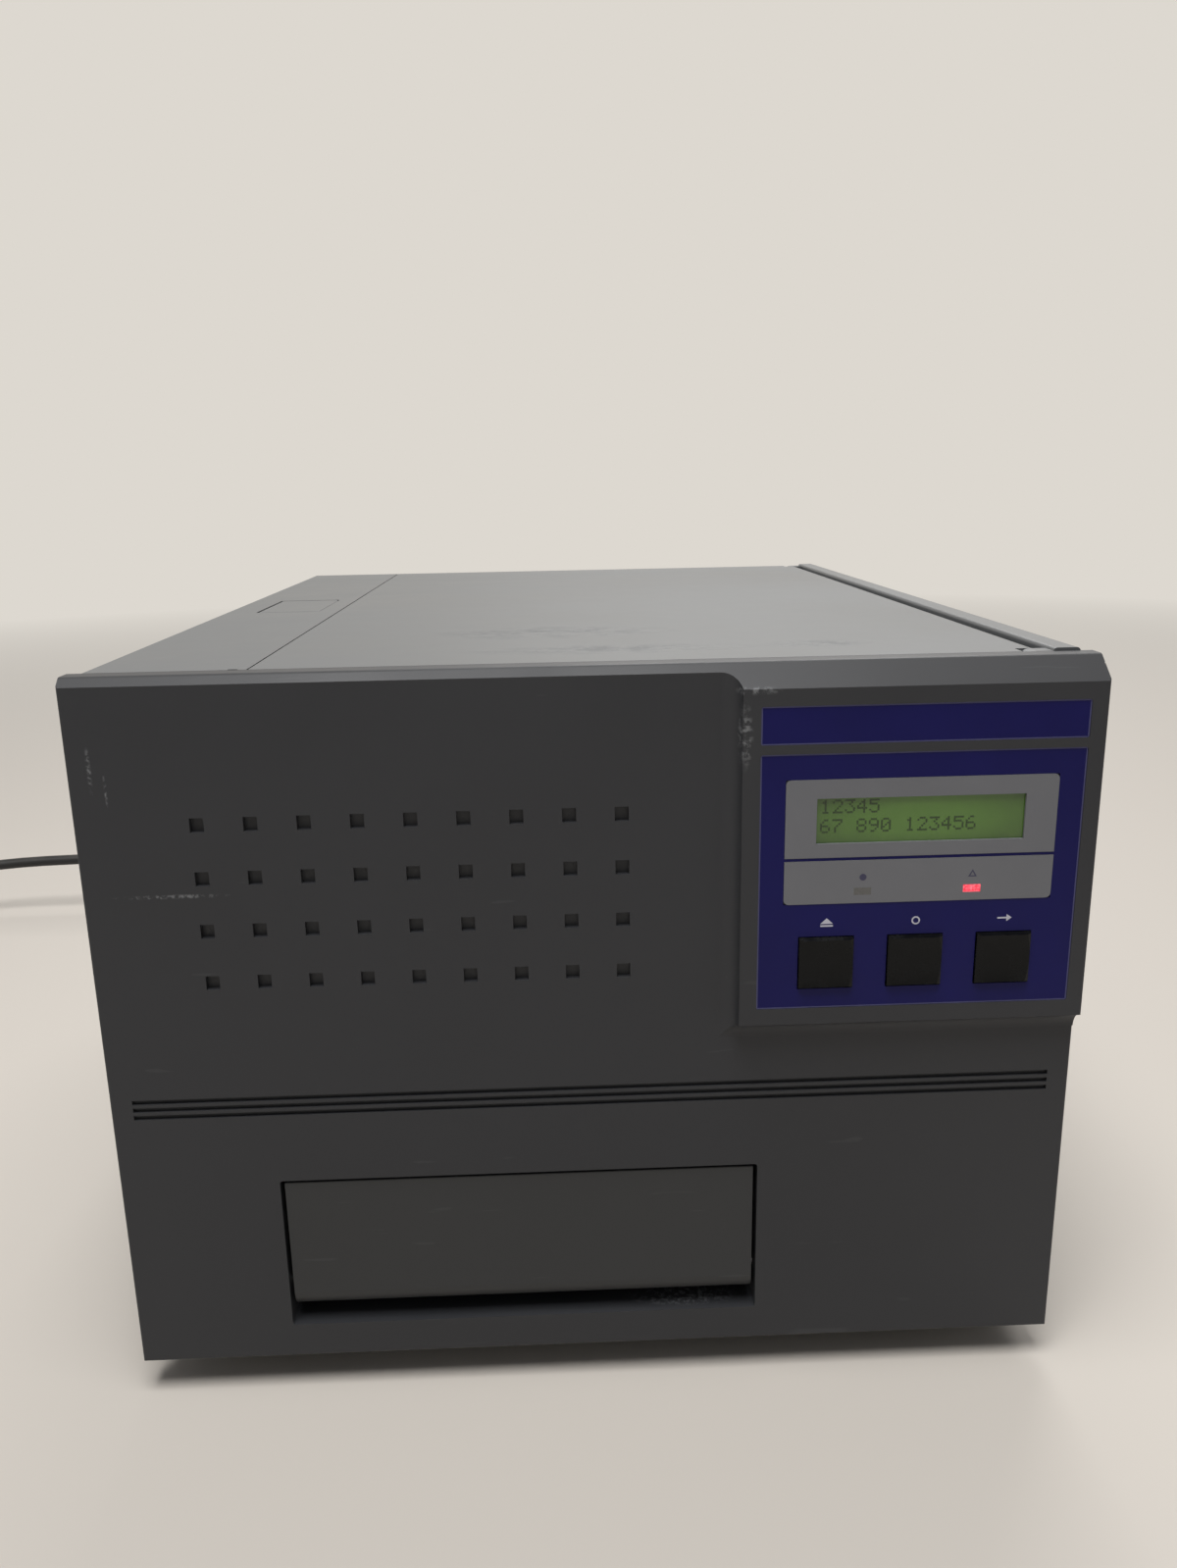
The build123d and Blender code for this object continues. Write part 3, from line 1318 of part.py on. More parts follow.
def make_fan_frame():
    x, z = fan_at
    y1 = back_y - rear_thick
    half = fan_size / 2
    solid = pad_y(x - half, x + half, y1 - fan_depth, y1, z - half, z + half, 4.0)
    solid -= rod_y(x, y1 - fan_depth - 1, y1 + 1, z, fan_bore)
    solid += rod_y(x, y1 - fan_depth, y1 - fan_depth + 3, z, fan_hub_radius)
    for n in range(3):
        arm = Pos(x, y1 - fan_depth + 1.5, z) * Rot(0, 120 * n + 15, 0) \
            * Pos((fan_bore + fan_hub_radius) / 2, 0, 0) * Box(fan_bore - fan_hub_radius + 2, 3, 4)
        solid += arm
    for sx in (-1, 1):
        for sz in (-1, 1):
            solid -= rod_y(x + sx * fan_hole_pitch / 2, y1 - fan_depth - 1, y1 + 1,
                           z + sz * fan_hole_pitch / 2, 2.2)
    return solid


def make_fan_rotor():
    """Hub with pitched blades."""
    x, z = fan_at
    y0 = back_y - rear_thick - fan_depth + 3 + fit_gap
    y1 = back_y - rear_thick - rotor_set_in
    solid = rod_y(x, y0, y1, z, fan_hub_radius)
    reach = fan_bore - 1.0
    middle = (y0 + y1) / 2
    for n in range(fan_blades):
        blade = Pos(x, middle, z) * Rot(0, 360 * n / fan_blades, 0) * Pos((reach + fan_hub_radius - 1) / 2, 0, 0) \
            * Rot(38, 0, 0) * Box(reach - fan_hub_radius + 1 - 1.5, 1.4, 20)
        solid += blade
    return solid


def make_fan_guard():
    """Wire guard outside the rear panel: rings on two crossed bars with fixing eyes."""
    x, z = fan_at
    y = back_y + guard_proud - guard_wire / 2
    solid = None
    for n in range(guard_rings):
        radius = fan_bore * (n + 1) / guard_rings
        section = Plane(origin=(x + radius, y, z), x_dir=(1, 0, 0), z_dir=(0, 0, 1))
        ring = revolve(section * RegularPolygon(guard_wire / 2, 6), Axis((x, y, z), (0, 1, 0)))
        solid = ring if solid is None else solid + ring
    half = fan_hole_pitch / 2
    for turn in (45, 135):
        bar = Pos(x, y - guard_wire * 0.6, z) * Rot(0, turn, 0) * Rot(0, 90, 0) \
            * Cylinder(guard_wire / 2, 2 * half * math.sqrt(2))
        solid += bar
    for sx in (-1, 1):
        for sz in (-1, 1):
            solid += rod_y(x + sx * half, back_y, y, z + sz * half, 3.4)
    return solid


def make_inlet():
    """Mains inlet: flange outside the rear panel, socket behind it and three pins."""
    x = left + inlet_from_left
    z = bottom + inlet_from_bottom
    width = inlet_width - 2 * spin_gap
    height = inlet_height - 2 * spin_gap
    solid = pad_y(x - inlet_flange_width / 2, x + inlet_flange_width / 2, back_y,
                  back_y + inlet_flange_thick, z - inlet_flange_height / 2, z + inlet_flange_height / 2, 3.0)
    solid += block(x - width / 2, x + width / 2, back_y - inlet_depth, back_y + 0.5,
                   z - height / 2, z + height / 2)
    solid -= block(x - width / 2 + inlet_wall, x + width / 2 - inlet_wall, back_y - inlet_depth + 2,
                   back_y + inlet_flange_thick + 1, z - height / 2 + inlet_wall, z + height / 2 - inlet_wall)
    for dx, dz in pin_places():
        solid += block(x + dx - 1, x + dx + 1, back_y - inlet_depth + 1, back_y - 2, z + dz - 2, z + dz + 2)
    return solid


def pin_places():
    return [(-7.0, -2.0), (7.0, -2.0), (0.0, 2.0)]


def make_switch_frame():
    """Bezel and body of the power switch, clipped into the rear panel."""
    x, z = switch_at
    w = rocker_width / 2
    h = rocker_height / 2
    solid = pad_y(x - w - 3, x + w + 3, back_y, back_y + 1.2, z - h - 3, z + h + 3, 1.5)
    solid += block(x - w - switch_wall, x + w + switch_wall, back_y - switch_depth, back_y + 0.5,
                   z - h - switch_wall, z + h + switch_wall)
    solid -= block(x - w, x + w, back_y - switch_depth + 2, back_y + 2, z - h, z + h)
    return solid - rod_z(x, rocker_y, z - h - rocker_pin_reach - spin_gap, z + h + rocker_pin_reach + spin_gap,
                         rocker_pin_radius + spin_gap)


def make_rocker():
    """Rocker on a pivot along Z, with a face of two slopes."""
    x, z = switch_at
    w = rocker_width / 2 - slide_gap - 0.6
    h = rocker_height / 2 - slide_gap
    crown = back_y + rocker_proud
    slope = math.tan(math.radians(rocker_tilt)) * w
    plane = Plane(origin=(0, 0, z - h))
    profile = make_face(Polyline((x - w, back_y - 2), (x - w, crown - slope), (x, crown - 1.5 * slope),
                                 (x + w, crown - slope), (x + w, back_y - 2), (x + 3, back_y - 9),
                                 (x - 3, back_y - 9), close=True))
    body = extrude(plane * profile, 2 * h)
    body += rod_z(x, rocker_y, z - rocker_height / 2 - rocker_pin_reach, z + rocker_height / 2 + rocker_pin_reach,
                  rocker_pin_radius)
    return Pos(x, rocker_y, 0) * Rot(0, 0, rocker_tilt) * Pos(-x, -rocker_y, 0) * body


# ------------------------------------------------------------------ mains lead
cord_radius = 3.5
cord_sides = 8              # flats round the lead
connector_length = 20.0     # moulded body behind the inlet
relief_length = 24.0
relief_radius = 5.5
coil_radius = 50.0          # middle of the cord in the coil's outer turn
coil_pitch = 7.6
coil_layer = 7.6
coil_half_turns = 5         # half turns in towards the middle on the first layer
coil_tail = 45.0            # straight end of the coiled cord, up to the plug
plug_length = 30.0
plug_width = 28.0

inlet_x = left + inlet_from_left
inlet_z = bottom + inlet_from_bottom
connector_y0 = back_y + inlet_flange_thick + fit_gap
cord_start = (inlet_x, connector_y0 + connector_length + relief_length, inlet_z)
coil_start = (-488.0, 150.0, cord_radius)

# The lead leaves the inlet, swings to the left behind the case, sinks to the table and is coiled.
cord_route = [
    cord_start,
    (inlet_x, 256.0, 48.0),
    (-121.0, 275.0, 47.6),
    (-140.0, 286.0, 46.9),
    (-172.0, 289.0, 45.4),
    (-236.0, 289.8, 41.4),
    (-318.0, 288.8, 37.5),
    (-400.0, 287.6, 36.4),
    (-446.0, 276.0, 30.5),
    (-477.0, 247.0, 19.0),
    (-487.0, 209.0, 7.0),
    (-488.0, 174.0, 3.5),
    coil_start]


def corner_radii(points):
    """Largest arc that each corner's two runs allow: 0.45 of the shorter run."""
    radii = []
    for before, corner, after in zip(points, points[1:], points[2:]):
        run_in = Vector(*corner) - Vector(*before)
        run_out = Vector(*after) - Vector(*corner)
        half_turn = math.radians(run_in.get_angle(run_out)) / 2
        radii.append(0.45 * min(run_in.length, run_out.length) / math.tan(half_turn))
    return radii


def tube(path, section):
    return sweep(Plane(origin=path @ 0, z_dir=path % 0) * section, path=path)


def make_cord():
    radii = corner_radii(cord_route)
    print("cord radii", [round(radius) for radius in radii])
    path = FilletPolyline(*cord_route, radius=radii)
    section = RegularPolygon(cord_radius, cord_sides)
    solid = tube(path, section)
    print("cord length", round(path.length), "volume over section x length",
          round(solid.volume / (path.length * section.area), 4))
    return solid


def coil_path():
    """Half turns that spiral in, climb to the second layer in a tilted half turn and spiral out."""
    steps = list(range(coil_half_turns)) + [coil_half_turns] + list(range(coil_half_turns - 1, 0, -1))
    edges = []
    point = Vector(*coil_start)
    forward = Vector(0, -1, 0)
    for n, step in enumerate(steps):
        radius = coil_radius - step * coil_pitch / 2
        inward = Vector(-forward.Y, forward.X, 0)
        if n == coil_half_turns:
            tilt = math.asin(coil_layer / (2 * radius))
            inward = inward * math.cos(tilt) + Vector(0, 0, math.sin(tilt))
        centre = point + inward * radius
        end = centre + inward * radius
        edges.append(ThreePointArc(point, centre + forward * radius, end))
        point = end
        forward = forward * -1
    edges.append(Line(point, point + forward * coil_tail))
    return Wire(edges), point + forward * coil_tail, forward


def least_gap(path):
    """Least gap between the coil's turns, on points along it."""
    count = 500
    points = [path @ (n / count) for n in range(count + 1)]
    step = path.length / count
    skip = int(60.0 / step)
    return min((points[a] - points[b]).length for a in range(count + 1)
               for b in range(a + skip, count + 1)) - 2 * cord_radius


coil_wire, coil_end, coil_heading = coil_path()


def make_coil():
    print("coil length", round(coil_wire.length), "least gap", round(least_gap(coil_wire), 2))
    return tube(coil_wire, RegularPolygon(cord_radius, cord_sides))


def make_cord_connector():
    """Connector: a nose in the inlet with three slots, a body and a tapered strain relief."""
    y1 = connector_y0 + connector_length
    cavity_w = inlet_width - 2 * spin_gap - 2 * inlet_wall
    cavity_h = inlet_height - 2 * spin_gap - 2 * inlet_wall
    w = cavity_w / 2 - fit_gap
    h = cavity_h / 2 - fit_gap
    nose_y = back_y - inlet_depth + 2 + 2 * fit_gap
    solid = block(inlet_x - w, inlet_x + w, nose_y, connector_y0 + 0.5, inlet_z - h, inlet_z + h)
    for dx, dz in pin_places():
        solid -= block(inlet_x + dx - 1.4, inlet_x + dx + 1.4, nose_y - 1, back_y + 1,
                       inlet_z + dz - 2.4, inlet_z + dz + 2.4)
    body = pad_y(inlet_x - 14, inlet_x + 14, connector_y0, y1 - 4, inlet_z - 10, inlet_z + 10, 3.0)
    plane0 = Plane(origin=(inlet_x, y1 - 4, inlet_z), x_dir=(1, 0, 0), z_dir=(0, 1, 0))
    plane1 = Plane(origin=(inlet_x, y1, inlet_z), x_dir=(1, 0, 0), z_dir=(0, 1, 0))
    shoulder = loft([plane0 * RectangleRounded(28, 20, 3.0), plane1 * RectangleRounded(20, 15, 5.0)])
    relief = Pos(inlet_x, y1 + relief_length / 2, inlet_z) * Rot(-90, 0, 0) \
        * Cone(relief_radius, cord_radius + 0.6, relief_length)
    return solid + body + shoulder + relief


def make_plug():
    """Plug lying on its side: tapered relief, moulded body, two blades and a round pin."""
    x = coil_end.X
    z = coil_end.Z
    y = coil_end.Y
    relief = Pos(x, y - relief_length / 2, z) * Rot(90, 0, 0) \
        * Cone(cord_radius + 0.6, relief_radius, relief_length)
    y1 = y - relief_length
    y0 = y1 - plug_length
    body = pad_y(x - plug_width / 2, x + plug_width / 2, y0, y1, 0, 2 * z, 6.0)
    body = chamfer(body.edges().group_by(Axis.Y)[-1], 2.5)
    solid = relief + body
    for dz in (-6.35, 6.35):
        solid += block(x - 8, x - 1.6, y0 - 17, y0 + 1, z + dz - 0.75, z + dz + 0.75)
    return solid + rod_y(x + 7.0, y0 - 20, y0 + 1, z, 2.4)


# ------------------------------------------------------------------ write every sub-part
save("fascia", make_fascia())
save("name_strip", make_name_strip())
save("control_panel", make_control_panel())
save("display_bezel", make_display_bezel())
save("indicator_bezel", make_indicator_bezel())
save("display_window", make_display_window())
save("display_module", make_display_module())
for name, x in zip(["ready_lens", "fault_lens"], lens_lefts):
    save(name, make_lens(x))
for name, x in zip(["key_left", "key_middle", "key_right"], key_lefts):
    save(name, make_key(x))
save("control_board", make_control_board())
save("tray_door", make_tray_door())
save("door_pins", *make_door_pins())

save("chassis_base", make_chassis_base())
save("feet", *[make_foot(x, y) for x, y in foot_places()])
save("left_cover", make_left_cover())
save("right_cover", make_right_cover())
save("rear_panel", make_rear_panel())
save("lid", make_lid())
save("lid_hinge_pins", *make_lid_pins())
save("release_button", make_release_button())
save("lid_latch", make_latch())

save("left_frame_plate", make_left_plate())
save("right_frame_plate", make_right_plate())
save("frame_bars", *make_frame_bars())
save("tray_rails", *make_rails())
save("disc_tray", make_tray())
save("disc_hub", make_hub())
save("tray_pinion", make_tray_pinion())
save("tray_gear", make_tray_gear())
save("tray_motor_gear", motor_gear(tray_motor_y, tray_motor_z, drive_turn))
save("platen_motor_gear", motor_gear(platen_motor_y, platen_motor_z, platen_turn))
save("drive_motors", geared_motor(tray_motor_y, tray_motor_z), geared_motor(platen_motor_y, platen_motor_z),
     spool_motor(*in_frame(ribbon_takeup_at)), spool_motor(*in_frame(film_takeup_at)))

supply_core, supply_roll = spool(ribbon_supply_at, supply_roll_radius, 2.0)
takeup_core, takeup_roll = spool(ribbon_takeup_at, takeup_roll_radius, spool_shaft_reach)
save("ribbon_supply_core", supply_core)
save("ribbon_supply_roll", supply_roll)
save("ribbon_takeup_core", takeup_core)
save("ribbon_takeup_roll", takeup_roll)
save("ribbon_web", make_ribbon_web())
save("film_supply_spindle", spindle(film_supply_at, 2.0))
save("film_takeup_spindle", spindle(film_takeup_at, spool_shaft_reach))
save("platen_roller", make_platen())
save("platen_gear", make_platen_gear())
save("head_arm", make_head_arm())
save("print_head", make_print_head())
save("transfer_roller", make_transfer_roller())
save("transfer_cradle", make_transfer_cradle())

save("main_board", make_main_board())
save("power_supply", make_power_supply())
save("fan_frame", make_fan_frame())
save("fan_rotor", make_fan_rotor())
save("fan_guard", make_fan_guard())
save("mains_inlet", make_inlet())
save("switch_frame", make_switch_frame())
save("power_rocker", make_rocker())

save("cord_connector", make_cord_connector())
save("power_cord", make_cord())
save("cord_coil", make_coil())
save("mains_plug", make_plug())
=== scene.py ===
import math

import bmesh
import bpy
from mathutils import Matrix, Vector


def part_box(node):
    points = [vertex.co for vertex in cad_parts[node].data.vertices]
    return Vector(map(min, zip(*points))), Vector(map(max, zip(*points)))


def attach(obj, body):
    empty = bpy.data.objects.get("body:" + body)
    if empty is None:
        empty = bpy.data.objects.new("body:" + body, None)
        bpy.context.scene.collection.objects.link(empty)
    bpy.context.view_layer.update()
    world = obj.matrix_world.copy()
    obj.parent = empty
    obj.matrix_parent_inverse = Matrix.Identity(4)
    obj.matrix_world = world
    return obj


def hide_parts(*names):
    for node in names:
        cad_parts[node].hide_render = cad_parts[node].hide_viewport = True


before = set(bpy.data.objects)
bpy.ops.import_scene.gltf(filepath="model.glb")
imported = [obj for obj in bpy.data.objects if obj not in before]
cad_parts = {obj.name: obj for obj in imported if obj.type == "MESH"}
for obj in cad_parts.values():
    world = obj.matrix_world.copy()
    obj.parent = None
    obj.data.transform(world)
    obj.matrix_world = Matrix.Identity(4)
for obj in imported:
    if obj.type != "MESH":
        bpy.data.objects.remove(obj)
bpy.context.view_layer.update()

MM = 0.001


# ------------------------------------------------------------------ materials
NOISE = "ShaderNodeTexNoise"
RANGE = "ShaderNodeMapRange"
MATHS = "ShaderNodeMath"
MIX = "ShaderNodeMix"
MAPPING = "ShaderNodeMapping"
VECTORS = "ShaderNodeVectorMath"
PARTS = "ShaderNodeSeparateXYZ"
BUMP = "ShaderNodeBump"
SHADER = "ShaderNodeBsdfPrincipled"
SURFACE = "ShaderNodeOutputMaterial"


def linear(code):
    """An sRGB hex colour as the linear values that the shader takes."""
    parts = [int(code[at:at + 2], 16) / 255 for at in (1, 3, 5)]
    return tuple(p / 12.92 if p <= 0.04045 else ((p + 0.055) / 1.055) ** 2.4 for p in parts) + (1.0,)


def add(tree, kind, inputs=None, give=0, **settings):
    """Adds a node with its settings, fills its inputs with values or links, and returns one output."""
    made = tree.nodes.new(kind)
    for key, value in settings.items():
        setattr(made, key, value)
    for key, value in (inputs or {}).items():
        if isinstance(value, bpy.types.NodeSocket):
            tree.links.new(value, made.inputs[key])
        else:
            made.inputs[key].default_value = value
    return made.outputs[give] if made.outputs else None


def new_finish(name):
    """A new material, its empty tree, and the place on the piece that its patterns read."""
    material = bpy.data.materials.new(name)
    material.use_nodes = True
    tree = material.node_tree
    tree.nodes.clear()
    return material, tree, add(tree, "ShaderNodeTexCoord", give="Object")


def spot_at(tree, place, centre, reach):
    """A round spot of wear or glow: 1 at its centre, 0 at its reach along each axis (millimetres)."""
    moved = add(tree, MAPPING, {
        "Vector": place, "Location": tuple(-c / r for c, r in zip(centre, reach)),
        "Scale": tuple(1 / (r * MM) for r in reach)})
    distance = add(tree, VECTORS, {0: moved}, give="Value", operation="LENGTH")
    return add(tree, RANGE, {"Value": distance, "From Min": 0.35, "To Min": 1.0, "To Max": 0.0})


def textured_abs(name, code, cloud_code, worn):
    """Spark-eroded ABS moulding: fine matt grain, paler where hands and discs rub it."""
    material, tree, place = new_finish(name)
    cloud = add(tree, NOISE, {"Vector": place, "Scale": 1 / (60 * MM), "Detail": 4.0, "Roughness": 0.55})
    share = add(tree, RANGE, {"Value": cloud, "From Min": 0.3, "From Max": 0.7, "To Max": 0.35})
    shade = add(tree, MIX, {"Factor": share, 6: linear(code), 7: linear(cloud_code)},
                give=2, data_type="RGBA")
    chips = add(tree, NOISE, {"Vector": place, "Scale": 1 / (1.6 * MM), "Detail": 5.0, "Roughness": 0.7})
    chips = add(tree, RANGE, {"Value": chips, "From Min": 0.48, "From Max": 0.60, "To Max": 0.55})
    for centre, reach in worn:
        spot = add(tree, MATHS, {0: spot_at(tree, place, centre, reach), 1: chips}, operation="MULTIPLY")
        shade = add(tree, MIX, {"Factor": spot, 6: shade, 7: linear("#8e9092")}, give=2, data_type="RGBA")
    # hairline scratches: long along one slanting direction, about 1 mm apart across it
    slant = add(tree, MAPPING, {"Vector": place, "Rotation": (0.2, 0.5, 0.9), "Scale": (30, 900, 240)})
    scratches = add(tree, NOISE, {"Vector": slant, "Scale": 1.0, "Detail": 2.0, "Roughness": 0.55})
    scratches = add(tree, RANGE, {"Value": scratches, "From Min": 0.715, "From Max": 0.74, "To Max": 0.10})
    shade = add(tree, MIX, {"Factor": scratches, 6: shade, 7: linear("#66686a")}, give=2, data_type="RGBA")
    rough = add(tree, RANGE, {
        "Value": cloud, "From Min": 0.3, "From Max": 0.7, "To Min": 0.40, "To Max": 0.52})
    # real grain is about 0.1 mm, too fine to show, so it is drawn 0.9 mm wide
    grain = add(tree, NOISE, {"Vector": place, "Scale": 1 / (0.9 * MM), "Detail": 2.0, "Roughness": 0.55})
    relief = add(tree, BUMP, {"Height": grain, "Distance": 0.03 * MM, "Strength": 0.6})
    skin = add(tree, SHADER, {
        "Base Color": shade, "Roughness": rough, "IOR": 1.54, "Specular IOR Level": 0.3, "Normal": relief})
    add(tree, SURFACE, {"Surface": skin})
    return material


def coated_sheet(name, code, cloud_code, smudged):
    """Powder-coated steel sheet: low orange peel, even grey, faint handling marks."""
    material, tree, place = new_finish(name)
    cloud = add(tree, NOISE, {"Vector": place, "Scale": 1 / (90 * MM), "Detail": 4.0, "Roughness": 0.55})
    share = add(tree, RANGE, {"Value": cloud, "From Min": 0.35, "From Max": 0.7, "To Max": 0.3})
    shade = add(tree, MIX, {"Factor": share, 6: linear(code), 7: linear(cloud_code)},
                give=2, data_type="RGBA")
    spots = [spot_at(tree, place, centre, reach) for centre, reach in smudged]
    smudge = spots[0]
    for spot in spots[1:]:
        smudge = add(tree, MATHS, {0: smudge, 1: spot}, operation="MAXIMUM")
    broken = add(tree, NOISE, {"Vector": place, "Scale": 1 / (9 * MM), "Detail": 5.0, "Roughness": 0.7})
    broken = add(tree, RANGE, {"Value": broken, "From Min": 0.42, "From Max": 0.66})
    smudge = add(tree, MATHS, {0: smudge, 1: broken}, operation="MULTIPLY")
    dark = add(tree, MATHS, {0: smudge, 1: 0.45}, operation="MULTIPLY")
    shade = add(tree, MIX, {"Factor": dark, 6: shade, 7: linear("#3c3d3e")}, give=2, data_type="RGBA")
    # wipe marks: about 70 mm long and 2 mm apart, nearly along X
    wiped = add(tree, MAPPING, {"Vector": place, "Rotation": (0, 0, 0.25), "Scale": (14, 420, 420)})
    wipes = add(tree, NOISE, {"Vector": wiped, "Scale": 1.0, "Detail": 3.0, "Roughness": 0.55})
    wipes = add(tree, RANGE, {"Value": wipes, "From Min": 0.66, "From Max": 0.72, "To Max": 0.10})
    shade = add(tree, MIX, {"Factor": wipes, 6: shade, 7: linear("#8c8e90")}, give=2, data_type="RGBA")
    dull = add(tree, MATHS, {0: cloud, 1: smudge}, operation="ADD")
    rough = add(tree, RANGE, {
        "Value": dull, "From Min": 0.3, "From Max": 1.2, "To Min": 0.34, "To Max": 0.56})
    # orange peel has a real spacing of 1.5 to 2 mm
    peel = add(tree, NOISE, {"Vector": place, "Scale": 1 / (1.8 * MM), "Detail": 2.0, "Roughness": 0.55})
    relief = add(tree, BUMP, {"Height": peel, "Distance": 0.02 * MM, "Strength": 0.5})
    skin = add(tree, SHADER, {"Base Color": shade, "Roughness": rough, "IOR": 1.5, "Normal": relief})
    add(tree, SURFACE, {"Surface": skin})
    return material


def printed_film(name, code, cloud_code, shine=0.5):
    """Screen-printed polyester overlay: fine velvet texture over an even ink."""
    material, tree, place = new_finish(name)
    cloud = add(tree, NOISE, {"Vector": place, "Scale": 1 / (25 * MM), "Detail": 3.0, "Roughness": 0.55})
    share = add(tree, RANGE, {"Value": cloud, "From Min": 0.3, "From Max": 0.7, "To Max": 0.5})
    shade = add(tree, MIX, {"Factor": share, 6: linear(code), 7: linear(cloud_code)},
                give=2, data_type="RGBA")
    rough = add(tree, RANGE, {
        "Value": cloud, "From Min": 0.3, "From Max": 0.7, "To Min": 0.30, "To Max": 0.40})
    # the velvet is about 0.05 mm, too fine to show, so it is drawn 0.5 mm wide
    velvet = add(tree, NOISE, {"Vector": place, "Scale": 1 / (0.5 * MM), "Detail": 1.0, "Roughness": 0.55})
    relief = add(tree, BUMP, {"Height": velvet, "Distance": 0.01 * MM, "Strength": 0.4})
    skin = add(tree, SHADER, {
        "Base Color": shade, "Roughness": rough, "IOR": 1.6, "Specular IOR Level": shine, "Normal": relief})
    add(tree, SURFACE, {"Surface": skin})
    return material


def display_glass(name):
    """Reflective liquid crystal behind clear film: yellow-green, brighter in the middle, glossy."""
    material, tree, place = new_finish(name)
    low, high = (Vector(corner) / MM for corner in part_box("display_window"))
    glow = spot_at(tree, place, tuple((low + high) / 2), (46.0, 10.0, 12.5))
    shade = add(tree, MIX, {"Factor": glow, 6: linear("#2d4617"), 7: linear("#4b6e29")},
                give=2, data_type="RGBA")
    cloud = add(tree, NOISE, {"Vector": place, "Scale": 1 / (7 * MM), "Detail": 3.0, "Roughness": 0.55})
    share = add(tree, RANGE, {"Value": cloud, "From Min": 0.4, "From Max": 0.7, "To Max": 0.15})
    shade = add(tree, MIX, {"Factor": share, 6: shade, 7: linear("#5c7c34")}, give=2, data_type="RGBA")
    ripple = add(tree, NOISE, {"Vector": place, "Scale": 1 / (4 * MM), "Detail": 3.0, "Roughness": 0.55})
    relief = add(tree, BUMP, {"Height": ripple, "Distance": 0.01 * MM, "Strength": 0.3})
    skin = add(tree, SHADER, {
        "Base Color": shade, "Emission Color": shade, "Emission Strength": 0.12, "Roughness": 0.14,
        "IOR": 1.5, "Coat Weight": 0.5, "Coat Roughness": 0.05, "Normal": relief})
    add(tree, SURFACE, {"Surface": skin})
    return material


def lamp_lens(name, code, core_code, lit):
    """Tinted polycarbonate light pipe, cloudy with a bright core when its lamp is on."""
    material, tree, place = new_finish(name)
    cloud = add(tree, NOISE, {"Vector": place, "Scale": 1 / (0.9 * MM), "Detail": 2.0, "Roughness": 0.55})
    share = add(tree, RANGE, {"Value": cloud, "From Min": 0.35, "From Max": 0.65})
    shade = add(tree, MIX, {"Factor": share, 6: linear(code), 7: linear(core_code)}, give=2, data_type="RGBA")
    skin = add(tree, SHADER, {
        "Base Color": shade, "Emission Color": shade, "Emission Strength": lit, "Roughness": 0.25,
        "IOR": 1.58})
    add(tree, SURFACE, {"Surface": skin})
    return material


def gloss_cap(name, code):
    """Polished ABS key cap: deep black, clear reflections broken by finger marks."""
    material, tree, place = new_finish(name)
    marks = add(tree, NOISE, {"Vector": place, "Scale": 1 / (4 * MM), "Detail": 5.0, "Roughness": 0.65})
    share = add(tree, RANGE, {"Value": marks, "From Min": 0.4, "From Max": 0.7, "To Max": 0.25})
    shade = add(tree, MIX, {"Factor": share, 6: linear(code), 7: linear("#161718")}, give=2, data_type="RGBA")
    rough = add(tree, RANGE, {
        "Value": marks, "From Min": 0.4, "From Max": 0.65, "To Min": 0.14, "To Max": 0.34})
    skin = add(tree, SHADER, {
        "Base Color": shade, "Roughness": rough, "IOR": 1.54, "Specular IOR Level": 0.15})
    add(tree, SURFACE, {"Surface": skin})
    return material


def rolled_metal(name, code, second, dullness, grain_axis, stretch=40.0):
    """Rolled or drawn metal: fine lines along the rolling direction and patchy dulling."""
    material, tree, place = new_finish(name)
    scale = [1.0, 1.0, 1.0]
    scale[grain_axis] = 1 / stretch
    # drawing lines are about 0.05 mm apart, too fine to show, so they are drawn 0.7 mm apart
    drawn = add(tree, MAPPING, {"Vector": place, "Scale": tuple(scale)})
    lines = add(tree, NOISE, {"Vector": drawn, "Scale": 1 / (0.7 * MM), "Detail": 2.0, "Roughness": 0.55})
    cloud = add(tree, NOISE, {"Vector": place, "Scale": 1 / (30 * MM), "Detail": 4.0, "Roughness": 0.55})
    share = add(tree, RANGE, {"Value": cloud, "From Min": 0.3, "From Max": 0.7})
    shade = add(tree, MIX, {"Factor": share, 6: linear(code), 7: linear(second)}, give=2, data_type="RGBA")
    rough = add(tree, RANGE, {
        "Value": lines, "From Min": 0.3, "From Max": 0.7,
        "To Min": dullness - 0.07, "To Max": dullness + 0.1})
    relief = add(tree, BUMP, {"Height": lines, "Distance": 0.008 * MM, "Strength": 0.5})
    skin = add(tree, SHADER, {"Base Color": shade, "Roughness": rough, "Metallic": 1.0, "Normal": relief})
    add(tree, SURFACE, {"Surface": skin})
    return material


